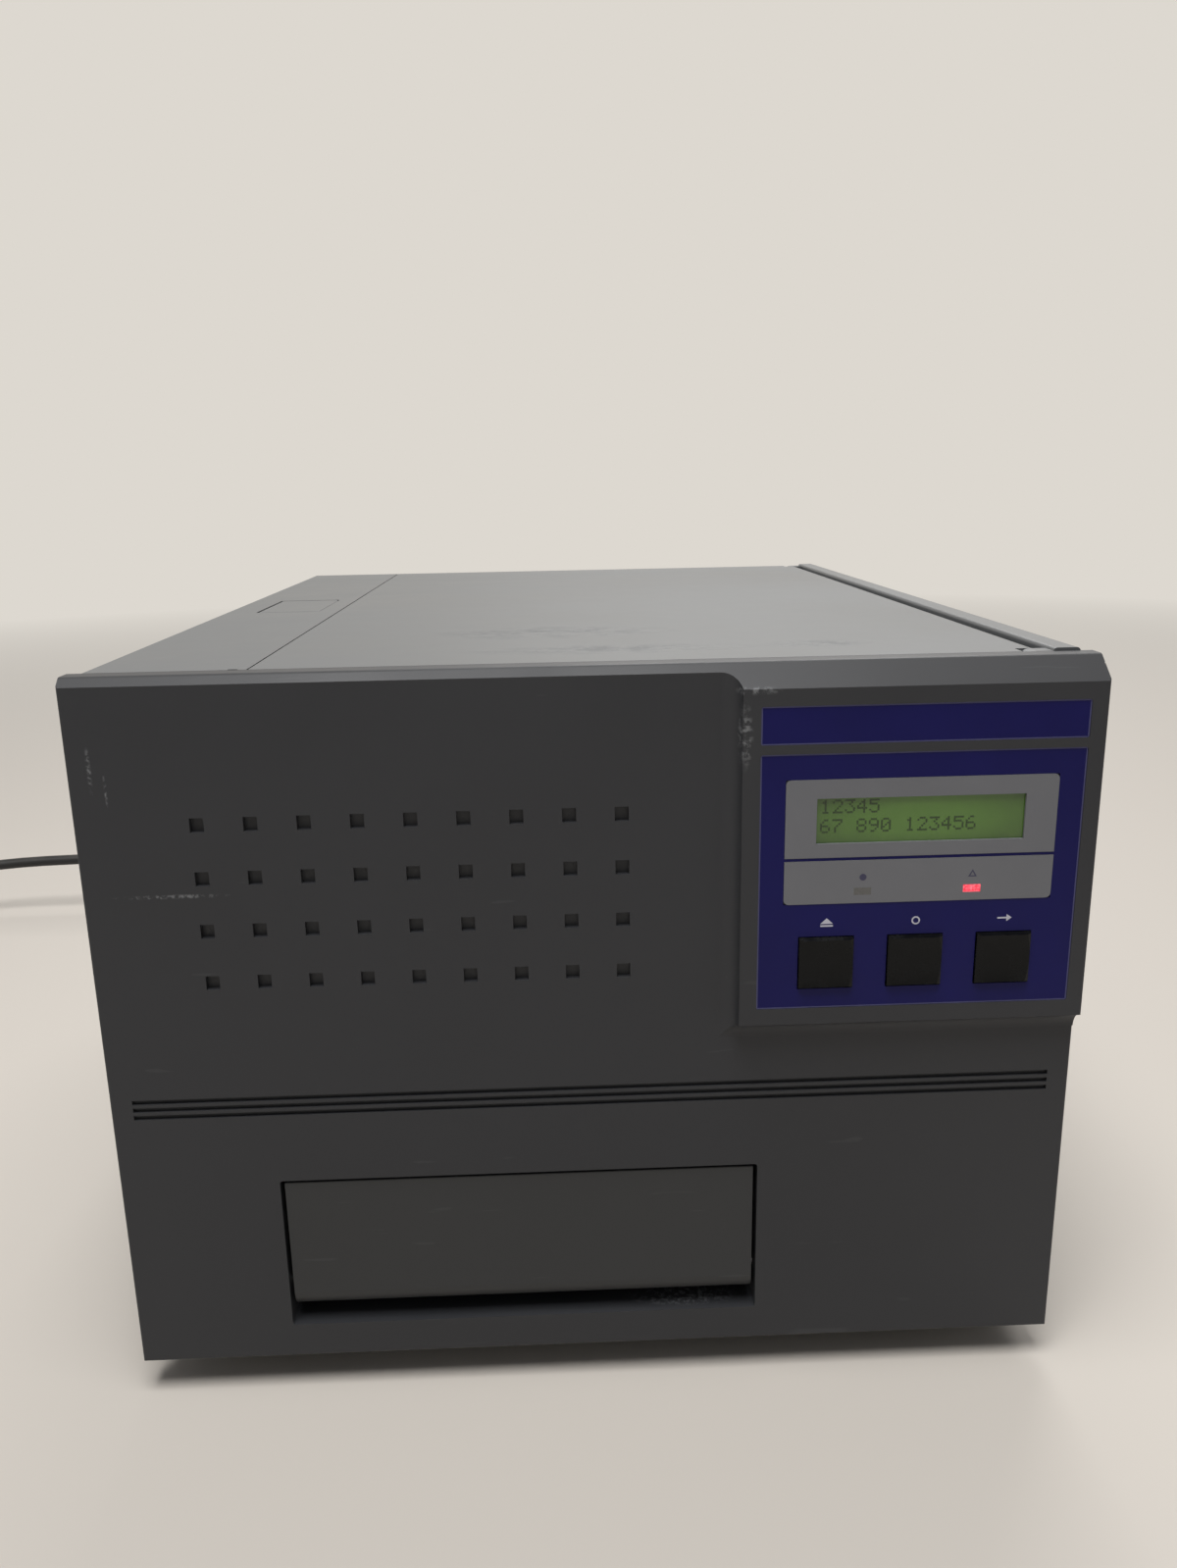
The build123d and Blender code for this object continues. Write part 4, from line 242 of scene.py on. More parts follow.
def spangled_zinc(name):
    """Galvanised sheet: crystal spangles about 6 mm across, each a slightly different grey."""
    material, tree, place = new_finish(name)
    spangles = add(tree, "ShaderNodeTexVoronoi", {"Vector": place, "Scale": 1 / (6 * MM)}, give="Color")
    tone = add(tree, PARTS, {"Vector": spangles}, give="X")
    shade = add(tree, MIX, {"Factor": tone, 6: linear("#9a9b99"), 7: linear("#b7b8b5")},
                give=2, data_type="RGBA")
    rough = add(tree, RANGE, {"Value": tone, "To Min": 0.34, "To Max": 0.5})
    dents = add(tree, NOISE, {"Vector": place, "Scale": 1 / (2 * MM), "Detail": 3.0, "Roughness": 0.55})
    relief = add(tree, BUMP, {"Height": dents, "Distance": 0.01 * MM, "Strength": 0.3})
    skin = add(tree, SHADER, {"Base Color": shade, "Roughness": rough, "Metallic": 1.0, "Normal": relief})
    add(tree, SURFACE, {"Surface": skin})
    return material


def dusty_moulding(name, code, dusty, dullness, grain_mm):
    """Moulded plastic or rubber with a little grey dust lying on its upper faces."""
    material, tree, place = new_finish(name)
    facing = add(tree, "ShaderNodeNewGeometry", give="Normal")
    up = add(tree, PARTS, {"Vector": facing}, give="Z")
    up = add(tree, RANGE, {"Value": up, "From Min": 0.3, "From Max": 0.95})
    flecks = add(tree, NOISE, {"Vector": place, "Scale": 1 / (12 * MM), "Detail": 5.0, "Roughness": 0.55})
    flecks = add(tree, RANGE, {"Value": flecks, "From Min": 0.4, "From Max": 0.75, "To Max": dusty})
    dust = add(tree, MATHS, {0: up, 1: flecks}, operation="MULTIPLY")
    shade = add(tree, MIX, {"Factor": dust, 6: linear(code), 7: linear("#77736c")}, give=2, data_type="RGBA")
    cloud = add(tree, NOISE, {"Vector": place, "Scale": 1 / (20 * MM), "Detail": 3.0, "Roughness": 0.55})
    rough = add(tree, RANGE, {
        "Value": cloud, "From Min": 0.3, "From Max": 0.7,
        "To Min": dullness - 0.06, "To Max": dullness + 0.08})
    grain = add(tree, NOISE, {
        "Vector": place, "Scale": 1 / (grain_mm * MM), "Detail": 2.0, "Roughness": 0.55})
    relief = add(tree, BUMP, {"Height": grain, "Distance": 0.02 * MM, "Strength": 0.5})
    skin = add(tree, SHADER, {"Base Color": shade, "Roughness": rough, "IOR": 1.5, "Normal": relief})
    add(tree, SURFACE, {"Surface": skin})
    return material


def milky_acetal(name):
    """Unpigmented acetal, milled and moulded: milky, waxy sheen, faint yellowing."""
    material, tree, place = new_finish(name)
    cloud = add(tree, NOISE, {"Vector": place, "Scale": 1 / (18 * MM), "Detail": 3.0, "Roughness": 0.55})
    share = add(tree, RANGE, {"Value": cloud, "From Min": 0.3, "From Max": 0.7})
    shade = add(tree, MIX, {"Factor": share, 6: linear("#dcd9d0"), 7: linear("#cfc8b4")},
                give=2, data_type="RGBA")
    milling = add(tree, NOISE, {"Vector": place, "Scale": 1 / (0.8 * MM), "Detail": 3.0, "Roughness": 0.55})
    relief = add(tree, BUMP, {"Height": milling, "Distance": 0.01 * MM, "Strength": 0.4})
    skin = add(tree, SHADER, {
        "Base Color": shade, "Roughness": 0.38, "IOR": 1.48, "Subsurface Weight": 0.12,
        "Subsurface Scale": 2 * MM, "Normal": relief})
    add(tree, SURFACE, {"Surface": skin})
    return material


def wound_ribbon(name, node, code, edge_code):
    """Thermal ribbon wound on its core: glossy film outside, fine rings on the end faces."""
    material, tree, place = new_finish(name)
    low, high = (Vector(corner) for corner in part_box(node))
    middle = (low + high) / 2
    centred = add(tree, MAPPING, {"Vector": place, "Location": (0, -middle.y, -middle.z)})
    flat = add(tree, VECTORS, {0: centred, 1: (0, 1, 1)}, operation="MULTIPLY")
    radius = add(tree, VECTORS, {0: flat}, give="Value", operation="LENGTH")
    # film is 0.005 mm thick, too fine to show, so rings are drawn every 0.8 mm
    turns = add(tree, MATHS, {0: radius, 1: 2 * math.pi / (0.8 * MM)}, operation="MULTIPLY")
    rings = add(tree, MATHS, {0: turns}, operation="SINE")
    rings = add(tree, RANGE, {"Value": rings, "From Min": -1.0, "To Min": 0.2})
    facing = add(tree, "ShaderNodeNewGeometry", give="Normal")
    sideways = add(tree, MATHS, {0: add(tree, PARTS, {"Vector": facing}, give="X")}, operation="ABSOLUTE")
    end_face = add(tree, RANGE, {"Value": sideways, "From Min": 0.5, "From Max": 0.9})
    tone = add(tree, MATHS, {0: end_face, 1: rings}, operation="MULTIPLY")
    shade = add(tree, MIX, {"Factor": tone, 6: linear(code), 7: linear(edge_code)}, give=2, data_type="RGBA")
    rough = add(tree, RANGE, {"Value": end_face, "To Min": 0.16, "To Max": 0.45})
    skin = add(tree, SHADER, {"Base Color": shade, "Roughness": rough, "IOR": 1.6})
    add(tree, SURFACE, {"Surface": skin})
    return material


def ground_roller(name, code, second):
    """Ground rubber roller: dull skin with fine rings from the grinding wheel."""
    material, tree, place = new_finish(name)
    # grinding rings are about 0.1 mm apart, too fine to show, so they are drawn 0.9 mm apart
    around = add(tree, MAPPING, {"Vector": place, "Scale": (1.0, 0.04, 0.04)})
    rings = add(tree, NOISE, {"Vector": around, "Scale": 1 / (0.9 * MM), "Detail": 2.0, "Roughness": 0.55})
    share = add(tree, RANGE, {"Value": rings, "From Min": 0.35, "From Max": 0.65})
    shade = add(tree, MIX, {"Factor": share, 6: linear(code), 7: linear(second)}, give=2, data_type="RGBA")
    relief = add(tree, BUMP, {"Height": rings, "Distance": 0.02 * MM, "Strength": 0.6})
    skin = add(tree, SHADER, {"Base Color": shade, "Roughness": 0.6, "IOR": 1.45, "Normal": relief})
    add(tree, SURFACE, {"Surface": skin})
    return material


# copper tracks under the mask, about 2 mm apart: lighter lines over a deep green
copper_tracks = {
    "Scale": 90.0, "Mortar Size": 0.035, "Brick Width": 0.6, "Row Height": 0.16,
    "Color1": linear("#0d4a2a"), "Color2": linear("#0b4325"), "Mortar": linear("#2c7a48")}


def solder_mask(name):
    """Green solder mask over etched copper: lighter tracks, tinned pads, glossy lacquer."""
    material, tree, place = new_finish(name)
    tracks = add(tree, "ShaderNodeTexBrick", {"Vector": place, **copper_tracks}, offset=0.37)
    spots = add(tree, "ShaderNodeTexVoronoi", {"Vector": place, "Scale": 1 / (5.08 * MM)}, give="Distance")
    pads = add(tree, RANGE, {
        "Value": spots, "From Min": 0.10, "From Max": 0.13, "To Min": 1.0, "To Max": 0.0})
    shade = add(tree, MIX, {"Factor": pads, 6: tracks, 7: linear("#b9b6a4")}, give=2, data_type="RGBA")
    skin = add(tree, SHADER, {
        "Base Color": shade, "Roughness": 0.3, "IOR": 1.55, "Coat Weight": 0.4, "Coat Roughness": 0.15})
    add(tree, SURFACE, {"Surface": skin})
    return material


def board_with_ports(name):
    """Main board: green solder mask, black moulded chips above it, nickel shells at its rear edge."""
    material, tree, place = new_finish(name)
    tracks = add(tree, "ShaderNodeTexBrick", {"Vector": place, **copper_tracks}, offset=0.37)
    height = add(tree, PARTS, {"Vector": place}, give="Z")
    above = add(tree, RANGE, {
        "Value": height, "From Min": board_top - 0.02 * MM, "From Max": board_top + 0.02 * MM})
    shade = add(tree, MIX, {"Factor": above, 6: tracks, 7: linear("#17181a")}, give=2, data_type="RGBA")
    depth = add(tree, PARTS, {"Vector": place}, give="Y")
    behind = add(tree, RANGE, {"Value": depth, "From Min": ports_from, "From Max": ports_from + 0.2 * MM})
    shell = add(tree, MATHS, {0: behind, 1: above}, operation="MULTIPLY")
    shade = add(tree, MIX, {"Factor": shell, 6: shade, 7: linear("#b9b7ae")}, give=2, data_type="RGBA")
    grain = add(tree, NOISE, {"Vector": place, "Scale": 1 / (1 * MM), "Detail": 3.0, "Roughness": 0.55})
    relief = add(tree, BUMP, {"Height": grain, "Distance": 0.01 * MM, "Strength": 0.4})
    skin = add(tree, SHADER, {
        "Base Color": shade, "Metallic": shell, "Roughness": 0.34, "IOR": 1.5, "Normal": relief})
    add(tree, SURFACE, {"Surface": skin})
    return material


# worn places on the front, each with its centre and its reach along X, Y and Z (millimetres)
front_wear = (
    ((44.8, -189.5, 218.0), (2.6, 4.0, 11.0)),      # the control block's left edge
    ((47.0, -189.5, 231.2), (9.0, 4.0, 1.4)),       # its upper left corner
    ((-123.4, -185.0, 173.0), (19.0, 4.0, 0.8)),    # a long rub left of the vents
    ((-88.0, -177.5, 236.5), (4.0, 4.0, 1.2)),      # a nick in the top lip
    ((-143.5, -185.0, 212.0), (0.8, 4.0, 9.0)),     # two upright rubs near the left edge
    ((-139.5, -185.0, 206.0), (0.5, 4.0, 6.0)),
    ((30.0, -177.5, 24.0), (22.0, 6.0, 1.0)))       # dust on the ledge under the tray door
# finger marks on the lid, in the same way
lid_smudges = (
    ((10.0, -150.0, 238.6), (50.0, 12.0, 10.0)),
    ((-8.0, -105.0, 238.6), (45.0, 20.0, 10.0)),
    ((73.0, -148.0, 238.6), (20.0, 9.0, 10.0)))
board_top = 25.65 * MM       # upper face of the main board
ports_from = 174.8 * MM      # front of the port shells

# matt dark grey mouldings, the door a shade lighter and without rubbed places
fascia_abs = textured_abs("textured_abs_fascia", "#303134", "#36373a", front_wear)
door_abs = textured_abs("textured_abs_door", "#343536", "#3a3b3c", ())
# the sheet metal case: satin mid grey that picks up the pale room on top
case_coat = coated_sheet("powder_coated_sheet", "#555759", "#686a6c", lid_smudges)
# overlays: deep blue, plain grey, and a painted highlight along their bevelled edges
blue_film = printed_film("blue_printed_film", "#15144f", "#181758", 0.12)
grey_film = printed_film("grey_printed_film", "#6f7074", "#75767a", 0.2)
# painted highlight: a pale colour for the thin lines drawn where each overlay's edge catches the light
painted_edge_highlight = printed_film("painted_film_edge_highlight", "#4c4c72", "#56567c", 0.2)
# inks: off-white over the keys, blue-black over the lamps, dark green dots on the display
white_ink = printed_film("white_screen_ink", "#b9b9c6", "#c4c4cf")
dark_ink = printed_film("dark_screen_ink", "#2a2948", "#302f50")
lcd_dots = printed_film("lcd_segment_dark", "#1f3510", "#253d13")
# the display glows faintly green; the left lamp is a dull grey, the right one bright red
lcd = display_glass("lcd_yellow_green")
lens_off = lamp_lens("lamp_lens_unlit", "#565654", "#605f5d", 0.0)
lens_on = lamp_lens("lamp_lens_red_lit", "#e0203a", "#ff6a78", 0.8)
# near-black caps with soft highlights
key_gloss = gloss_cap("polished_abs_key", "#08090a")
rocker_gloss = gloss_cap("polished_abs_rocker", "#121213")
# metals: bright bars and pins, a mirror-like guard, duller motor cans, warm brass, pale aluminium
steel = rolled_metal("bright_drawn_steel", "#a9aaab", "#b9babb", 0.3, 0)
pin_steel = rolled_metal("hinge_pin_steel", "#b7b8b9", "#c7c8c9", 0.26, 1)
guard_wire = rolled_metal("chromed_guard_wire", "#bfc1c3", "#c9cbcc", 0.2, 0)
motor_can = rolled_metal("zinc_plated_motor_can", "#9c9d9c", "#adaeac", 0.34, 0)
turned_brass = rolled_metal("turned_brass", "#b8924a", "#c8a35a", 0.28, 0)
head_aluminium = rolled_metal("extruded_aluminium", "#b4b7b9", "#c3c6c7", 0.32, 0)
screw_zinc = rolled_metal("zinc_plated_screw", "#9fa09c", "#b4b5b0", 0.3, 2, 4.0)
zinc = spangled_zinc("galvanised_sheet")
# dark plastics and rubber: the rubber dullest, the hub and screws with most sheen
foot_rubber = dusty_moulding("moulded_foot_rubber", "#1b1b1b", 0.25, 0.72, 0.8)
tray_plastic = dusty_moulding("matt_black_tray_plastic", "#17181a", 0.35, 0.5, 0.9)
hub_plastic = dusty_moulding("black_hub_plastic", "#1f2022", 0.2, 0.42, 0.9)
core_plastic = dusty_moulding("grey_core_plastic", "#77777a", 0.1, 0.45, 0.9)
fan_plastic = dusty_moulding("glass_filled_black_plastic", "#151516", 0.4, 0.48, 0.9)
sheathing = dusty_moulding("black_pvc_sheath", "#141415", 0.25, 0.5, 0.7)
screw_black = dusty_moulding("black_oxide_screw", "#202123", 0.15, 0.36, 0.6)
# milky gears, rails and latch
acetal = milky_acetal("natural_acetal")
# rollers: black platen, brick-red silicone
roller_rubber = ground_roller("ground_nitrile_rubber", "#1e1e1f", "#2a2a2b")
roller_silicone = ground_roller("ground_silicone_rubber", "#9c3a26", "#a94832")
# ribbons: glossy black outside, greyer and ringed on their ends
supply_roll = wound_ribbon("black_ribbon_supply", "ribbon_supply_roll", "#0e0e10", "#2b2b2e")
takeup_roll = wound_ribbon("black_ribbon_takeup", "ribbon_takeup_roll", "#101012", "#34343a")
web_film = wound_ribbon("black_ribbon_web", "ribbon_web", "#0c0c0e", "#1d1d20")
# green boards
control_green = solder_mask("green_solder_mask")
main_green = board_with_ports("board_chips_and_port_shells")

finishes = {
    fascia_abs: ["fascia"], door_abs: ["tray_door"],
    case_coat: ["left_cover", "right_cover", "rear_panel", "lid", "release_button"],
    blue_film: ["name_strip", "control_panel"], grey_film: ["display_bezel", "indicator_bezel"],
    lcd: ["display_window"], lens_off: ["ready_lens"], lens_on: ["fault_lens"],
    key_gloss: ["key_left", "key_middle", "key_right"], rocker_gloss: ["power_rocker"],
    steel: ["display_module", "frame_bars"], pin_steel: ["door_pins", "lid_hinge_pins"],
    guard_wire: ["fan_guard"], motor_can: ["drive_motors"],
    zinc: ["chassis_base", "left_frame_plate", "right_frame_plate", "head_arm", "transfer_cradle",
           "power_supply"],
    foot_rubber: ["feet"], acetal: ["lid_latch", "tray_rails", "tray_pinion", "tray_gear", "platen_gear"],
    tray_plastic: ["disc_tray"], hub_plastic: ["disc_hub"],
    turned_brass: ["tray_motor_gear", "platen_motor_gear"],
    core_plastic: ["ribbon_supply_core", "ribbon_takeup_core", "film_supply_spindle", "film_takeup_spindle"],
    supply_roll: ["ribbon_supply_roll"], takeup_roll: ["ribbon_takeup_roll"], web_film: ["ribbon_web"],
    roller_rubber: ["platen_roller"], roller_silicone: ["transfer_roller"], head_aluminium: ["print_head"],
    fan_plastic: ["fan_frame", "fan_rotor", "mains_inlet", "switch_frame"],
    sheathing: ["cord_connector", "power_cord", "cord_coil", "mains_plug"],
    control_green: ["control_board"], main_green: ["main_board"]}
for finish, names in finishes.items():
    for name in names:
        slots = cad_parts[name].data.materials
        slots.clear()
        slots.append(finish)


# ------------------------------------------------------------------ making pieces
def piece_from(name, work, finish, body, smooth=False):
    """Makes an object of a finished bmesh, at the origin, and rides it on its body."""
    mesh = bpy.data.meshes.new(name)
    work.to_mesh(mesh)
    work.free()
    for face in mesh.polygons:
        face.use_smooth = smooth
    mesh.materials.append(finish)
    made = bpy.data.objects.new(name, mesh)
    bpy.context.scene.collection.objects.link(made)
    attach(made, body)
    return made


def add_box(work, low, high):
    """A closed block between two corners (metres)."""
    middle = (Vector(low) + Vector(high)) / 2
    size = Vector(high) - Vector(low)
    bmesh.ops.create_cube(work, size=1.0, matrix=Matrix.Translation(middle) @ Matrix.Diagonal((*size, 1.0)))


def add_prism(work, corners, depth):
    """A closed prism: corners (x, z) at depth[0], seen from the front, back to depth[1] (y, metres)."""
    front = [work.verts.new((x, depth[0], z)) for x, z in corners]
    back = [work.verts.new((x, depth[1], z)) for x, z in corners]
    count = len(corners)
    faces = [work.faces.new(front), work.faces.new(list(reversed(back)))]
    for at in range(count):
        after = (at + 1) % count
        faces.append(work.faces.new((front[after], front[at], back[at], back[after])))
    bmesh.ops.recalc_face_normals(work, faces=faces)


def round_corners(x0, x1, z0, z1, radius, steps=5):
    """Corners of a rectangle with rounded ends, counter-clockwise."""
    corners = []
    for cx, cz, turn in ((x1 - radius, z1 - radius, 0), (x0 + radius, z1 - radius, 90),
                         (x0 + radius, z0 + radius, 180), (x1 - radius, z0 + radius, 270)):
        for step in range(steps + 1):
            angle = math.radians(turn + 90 * step / steps)
            corners.append((cx + radius * math.cos(angle), cz + radius * math.sin(angle)))
    return corners


# ------------------------------------------------------------------ display: two rows of plain numbers
digit_rows = {
    "0": "0E 11 13 15 19 11 0E", "1": "04 0C 04 04 04 04 0E", "2": "0E 11 01 02 04 08 1F",
    "3": "1F 02 04 02 01 11 0E", "4": "02 06 0A 12 1F 02 02", "5": "1F 10 1E 01 01 11 0E",
    "6": "06 08 10 1E 11 11 0E", "7": "1F 01 02 04 08 08 08", "8": "0E 11 11 0E 11 11 0E",
    "9": "0E 11 11 0F 01 02 0C"}
window_low, window_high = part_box("display_window")
dot_pitch = 0.60 * MM
dot_size = 0.52 * MM
character_pitch = 3.6 * MM
row_pitch = 5.9 * MM
film_proud = 0.05 * MM


def display_dots():
    """Dark dots on the display's glass: each digit is 5 dots wide and 7 high."""
    work = bmesh.new()
    left = window_low[0] + 2.2 * MM
    top = window_high[2] - 1.6 * MM
    face = window_low[1]
    for row, text in enumerate(("12345", "67 890 123456")):
        for column, digit in enumerate(text):
            if digit == " ":
                continue
            for line, bits in enumerate(digit_rows[digit].split()):
                for dot in range(5):
                    if int(bits, 16) >> (4 - dot) & 1:
                        x = left + column * character_pitch + dot * dot_pitch
                        z = top - row * row_pitch - line * dot_pitch
                        add_box(work, (x, face - film_proud, z - dot_size), (x + dot_size, face, z))
    return piece_from("display_dots", work, lcd_dots, "case")


display_dots()


# ------------------------------------------------------------------ printed marks, painted highlights on the film's edges
def grey_plate(name, node, holes, rounded_top):
    """A grey printed plate with two rounded corners and square holes, in place of its plain solid."""
    low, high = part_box(node)
    radius = 1.5 * MM
    outline = round_corners(low[0], high[0], low[2], high[2], radius)
    middle = (low[2] + high[2]) / 2
    square = [(low[0], low[2]), (high[0], low[2])] if rounded_top else [(high[0], high[2]), (low[0], high[2])]
    kept = [corner for corner in outline if (corner[1] > middle) == rounded_top]
    outline = kept + square
    loops = [outline] + [[(x0, z0), (x1, z0), (x1, z1), (x0, z1)] for x0, x1, z0, z1 in holes]
    work = bmesh.new()
    edges = []
    for loop in loops:
        ring = [work.verts.new((x, low[1], z)) for x, z in loop]
        edges += [work.edges.new((ring[n], ring[(n + 1) % len(ring)])) for n in range(len(ring))]
    bmesh.ops.triangle_fill(work, edges=edges, use_beauty=True)
    grown = bmesh.ops.extrude_face_region(work, geom=work.faces[:])
    moved = [part for part in grown["geom"] if isinstance(part, bmesh.types.BMVert)]
    bmesh.ops.translate(work, verts=moved, vec=(0, high[1] - low[1], 0))
    bmesh.ops.recalc_face_normals(work, faces=work.faces)
    made = piece_from(name, work, grey_film, "case")
    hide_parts(node)
    return made


def node_hole(node):
    low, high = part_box(node)
    return low[0], high[0], low[2], high[2]


window_hole = (66.1 * MM, 127.8 * MM, 185.2 * MM, 199.0 * MM)
grey_plate("display_bezel_plate", "display_bezel", [window_hole], True)
lamp_holes = [node_hole("ready_lens"), node_hole("fault_lens")]
grey_plate("indicator_bezel_plate", "indicator_bezel", lamp_holes, False)
panel_low, panel_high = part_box("control_panel")
strip_low, strip_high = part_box("name_strip")
ink = 0.03 * MM


# marks over the keys: corners from the mark's middle (x, z, millimetres)
mark_rise = 3.6 * MM
eject_triangle = ((-1.9, -0.3), (1.9, -0.3), (0.0, 1.5))
eject_bar = ((-1.9, -1.2), (1.9, -1.2), (1.9, -0.7), (-1.9, -0.7))
arrow_shaft = ((-2.2, -0.25), (0.6, -0.25), (0.6, 0.25), (-2.2, 0.25))
arrow_point = ((0.6, -1.1), (2.2, 0.0), (0.6, 1.1))
ring_inner = 0.85 * MM
ring_outer = 1.3 * MM
ring_sides = 28


def key_marks():
    """White marks above the keys: an eject triangle over a bar, a ring, an arrow to the right."""
    work = bmesh.new()
    depth = (panel_low[1] - ink, panel_low[1])
    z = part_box("key_left")[1][2] + mark_rise
    left, middle, right = (sum(corner[0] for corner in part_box(name)) / 2
                           for name in ("key_left", "key_middle", "key_right"))
    for x, outline in ((left, eject_triangle), (left, eject_bar), (right, arrow_shaft), (right, arrow_point)):
        add_prism(work, [(x + across * MM, z + rise * MM) for across, rise in outline], depth)
    for at in range(ring_sides):
        start, end = (2 * math.pi * (at + step) / ring_sides for step in (0, 1))
        corners = ((start, ring_inner), (start, ring_outer), (end, ring_outer), (end, ring_inner))
        add_prism(work, [(middle + r * math.cos(turn), z + r * math.sin(turn)) for turn, r in corners], depth)
    return piece_from("key_marks", work, white_ink, "case")


# marks over the lamps: sides, first corner's angle, inner and outer radius
lamp_mark_rise = 4.4 * MM
dot_mark = (24, 0.0, 0.0, 1.05 * MM)
triangle_mark = (3, math.pi / 2, 0.8 * MM, 1.5 * MM)


def lamp_marks():
    """Dark marks above the lamps: a filled disc and a hollow triangle."""
    work = bmesh.new()
    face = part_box("indicator_bezel")[0][1]
    depth = (face - ink, face)
    for name, (sides, turn, inner, outer) in (("ready_lens", dot_mark), ("fault_lens", triangle_mark)):
        low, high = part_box(name)
        x = (low[0] + high[0]) / 2
        z = (low[2] + high[2]) / 2 + lamp_mark_rise
        for at in range(sides):
            angles = [turn + 2 * math.pi * (at + step) / sides for step in (0, 1)]
            corners = [(angle, outer) for angle in angles]
            corners += [(angle, inner) for angle in reversed(angles)] if inner else [(turn, 0.0)]
            outline = [(x + r * math.cos(angle), z + r * math.sin(angle)) for angle, r in corners]
            add_prism(work, outline, depth)
    return piece_from("lamp_marks", work, dark_ink, "case")


def film_edges():
    """Each overlay's bevelled edge gets a thin pale line, a painted highlight where the edge catches the
    light.
    """
    work = bmesh.new()
    wide = 0.4 * MM
    # pale lines on all four sides of each overlay, painted highlight rather than a pale edge material
    for low, high in ((panel_low, panel_high), (strip_low, strip_high)):
        y0 = low[1] - ink
        y1 = low[1]
        add_box(work, (low[0], y0, high[2] - wide), (high[0], y1, high[2]))
        add_box(work, (low[0], y0, low[2]), (high[0], y1, low[2] + wide))
        add_box(work, (high[0] - wide, y0, low[2] + wide), (high[0], y1, high[2] - wide))
        add_box(work, (low[0], y0, low[2] + wide), (low[0] + wide, y1, high[2] - wide))
    return piece_from("film_edges", work, painted_edge_highlight, "case")


key_marks()
lamp_marks()
film_edges()


# ------------------------------------------------------------------ screws
def screw_head(name, radius, height, recess):
    """Pan head with a cross recess, its seat at the origin and its crown towards +Z."""
    work = bmesh.new()
    levels = ((radius, 0.0), (radius, height * 0.35), (radius * 0.86, height * 0.78), (radius * 0.55, height))
    sides = 20
    angles = [2 * math.pi * n / sides for n in range(sides)]
    rings = [[work.verts.new((r * math.cos(angle), r * math.sin(angle), z)) for angle in angles]
             for r, z in levels]
    for lower, upper in zip(rings, rings[1:]):
        for n in range(sides):
            after = (n + 1) % sides
            work.faces.new((lower[n], lower[after], upper[after], upper[n]))
    work.faces.new(list(reversed(rings[0])))
    arm = radius * 0.5
    half = radius * 0.11
    cross = [(arm, -half), (arm, half), (half, half), (half, arm), (-half, arm), (-half, half),
             (-arm, half), (-arm, -half), (-half, -half), (-half, -arm), (half, -arm), (half, -half)]
    lip = [work.verts.new((x, y, height)) for x, y in cross]
    floor = [work.verts.new((x * 0.7, y * 0.7, height - recess)) for x, y in cross]
    for n in range(len(cross)):
        after = (n + 1) % len(cross)
        work.faces.new((lip[n], lip[after], floor[after], floor[n]))
    work.faces.new(floor)
    crown = [work.edges.get((rings[-1][n], rings[-1][(n + 1) % sides])) for n in range(sides)]
    crown += [work.edges.get((lip[n], lip[(n + 1) % len(cross)])) for n in range(len(cross))]
    bmesh.ops.triangle_fill(work, edges=crown, use_beauty=True)
    bmesh.ops.recalc_face_normals(work, faces=work.faces)
    mesh = bpy.data.meshes.new(name)
    work.to_mesh(mesh)
    work.free()
    return bpy.data.objects.new(name, mesh)


def screw_tree():
    """Puts a screw head on every point, its crown along the point's own direction."""
    tree = bpy.data.node_groups.new("seat_screws", "GeometryNodeTree")
    tree.interface.new_socket("Geometry", in_out="INPUT", socket_type="NodeSocketGeometry")
    head = tree.interface.new_socket("Screw head", in_out="INPUT", socket_type="NodeSocketObject")
    size = tree.interface.new_socket("Head scale", in_out="INPUT", socket_type="NodeSocketFloat")
    size.default_value = 1.0
    finish = tree.interface.new_socket("Finish", in_out="INPUT", socket_type="NodeSocketMaterial")
    tree.interface.new_socket("Geometry", in_out="OUTPUT", socket_type="NodeSocketGeometry")
    given = add(tree, "NodeGroupInput").node.outputs
    shape = add(tree, "GeometryNodeObjectInfo", {"Object": given["Screw head"]}, give="Geometry")
    out = add(tree, "GeometryNodeInputNamedAttribute", {"Name": "out"}, give="Attribute",
              data_type="FLOAT_VECTOR")
    turned = add(tree, "FunctionNodeAlignRotationToVector", {"Vector": out}, axis="Z")
    spin = add(tree, "FunctionNodeRandomValue", {2: 0.0, 3: 1.5, "Seed": 7}, give=1, data_type="FLOAT")
    about = add(tree, "FunctionNodeAxisAngleToRotation", {"Axis": (0, 0, 1), "Angle": spin})
    whole = add(tree, "FunctionNodeRotateRotation", {"Rotation": turned, "Rotate By": about},
                rotation_space="LOCAL")
    seated = add(tree, "GeometryNodeInstanceOnPoints", {
        "Points": given["Geometry"], "Instance": shape, "Rotation": whole, "Scale": given["Head scale"]})
    real = add(tree, "GeometryNodeRealizeInstances", {"Geometry": seated})
    painted = add(tree, "GeometryNodeSetMaterial", {"Geometry": real, "Material": given["Finish"]})
    add(tree, "NodeGroupOutput", {"Geometry": painted})
    return tree, {"head": head.identifier, "size": size.identifier, "finish": finish.identifier}


seat_screws, screw_inputs = screw_tree()
pan_head = screw_head("pan_head", 2.6 * MM, 1.5 * MM, 0.9 * MM)
bpy.context.scene.collection.objects.link(pan_head)


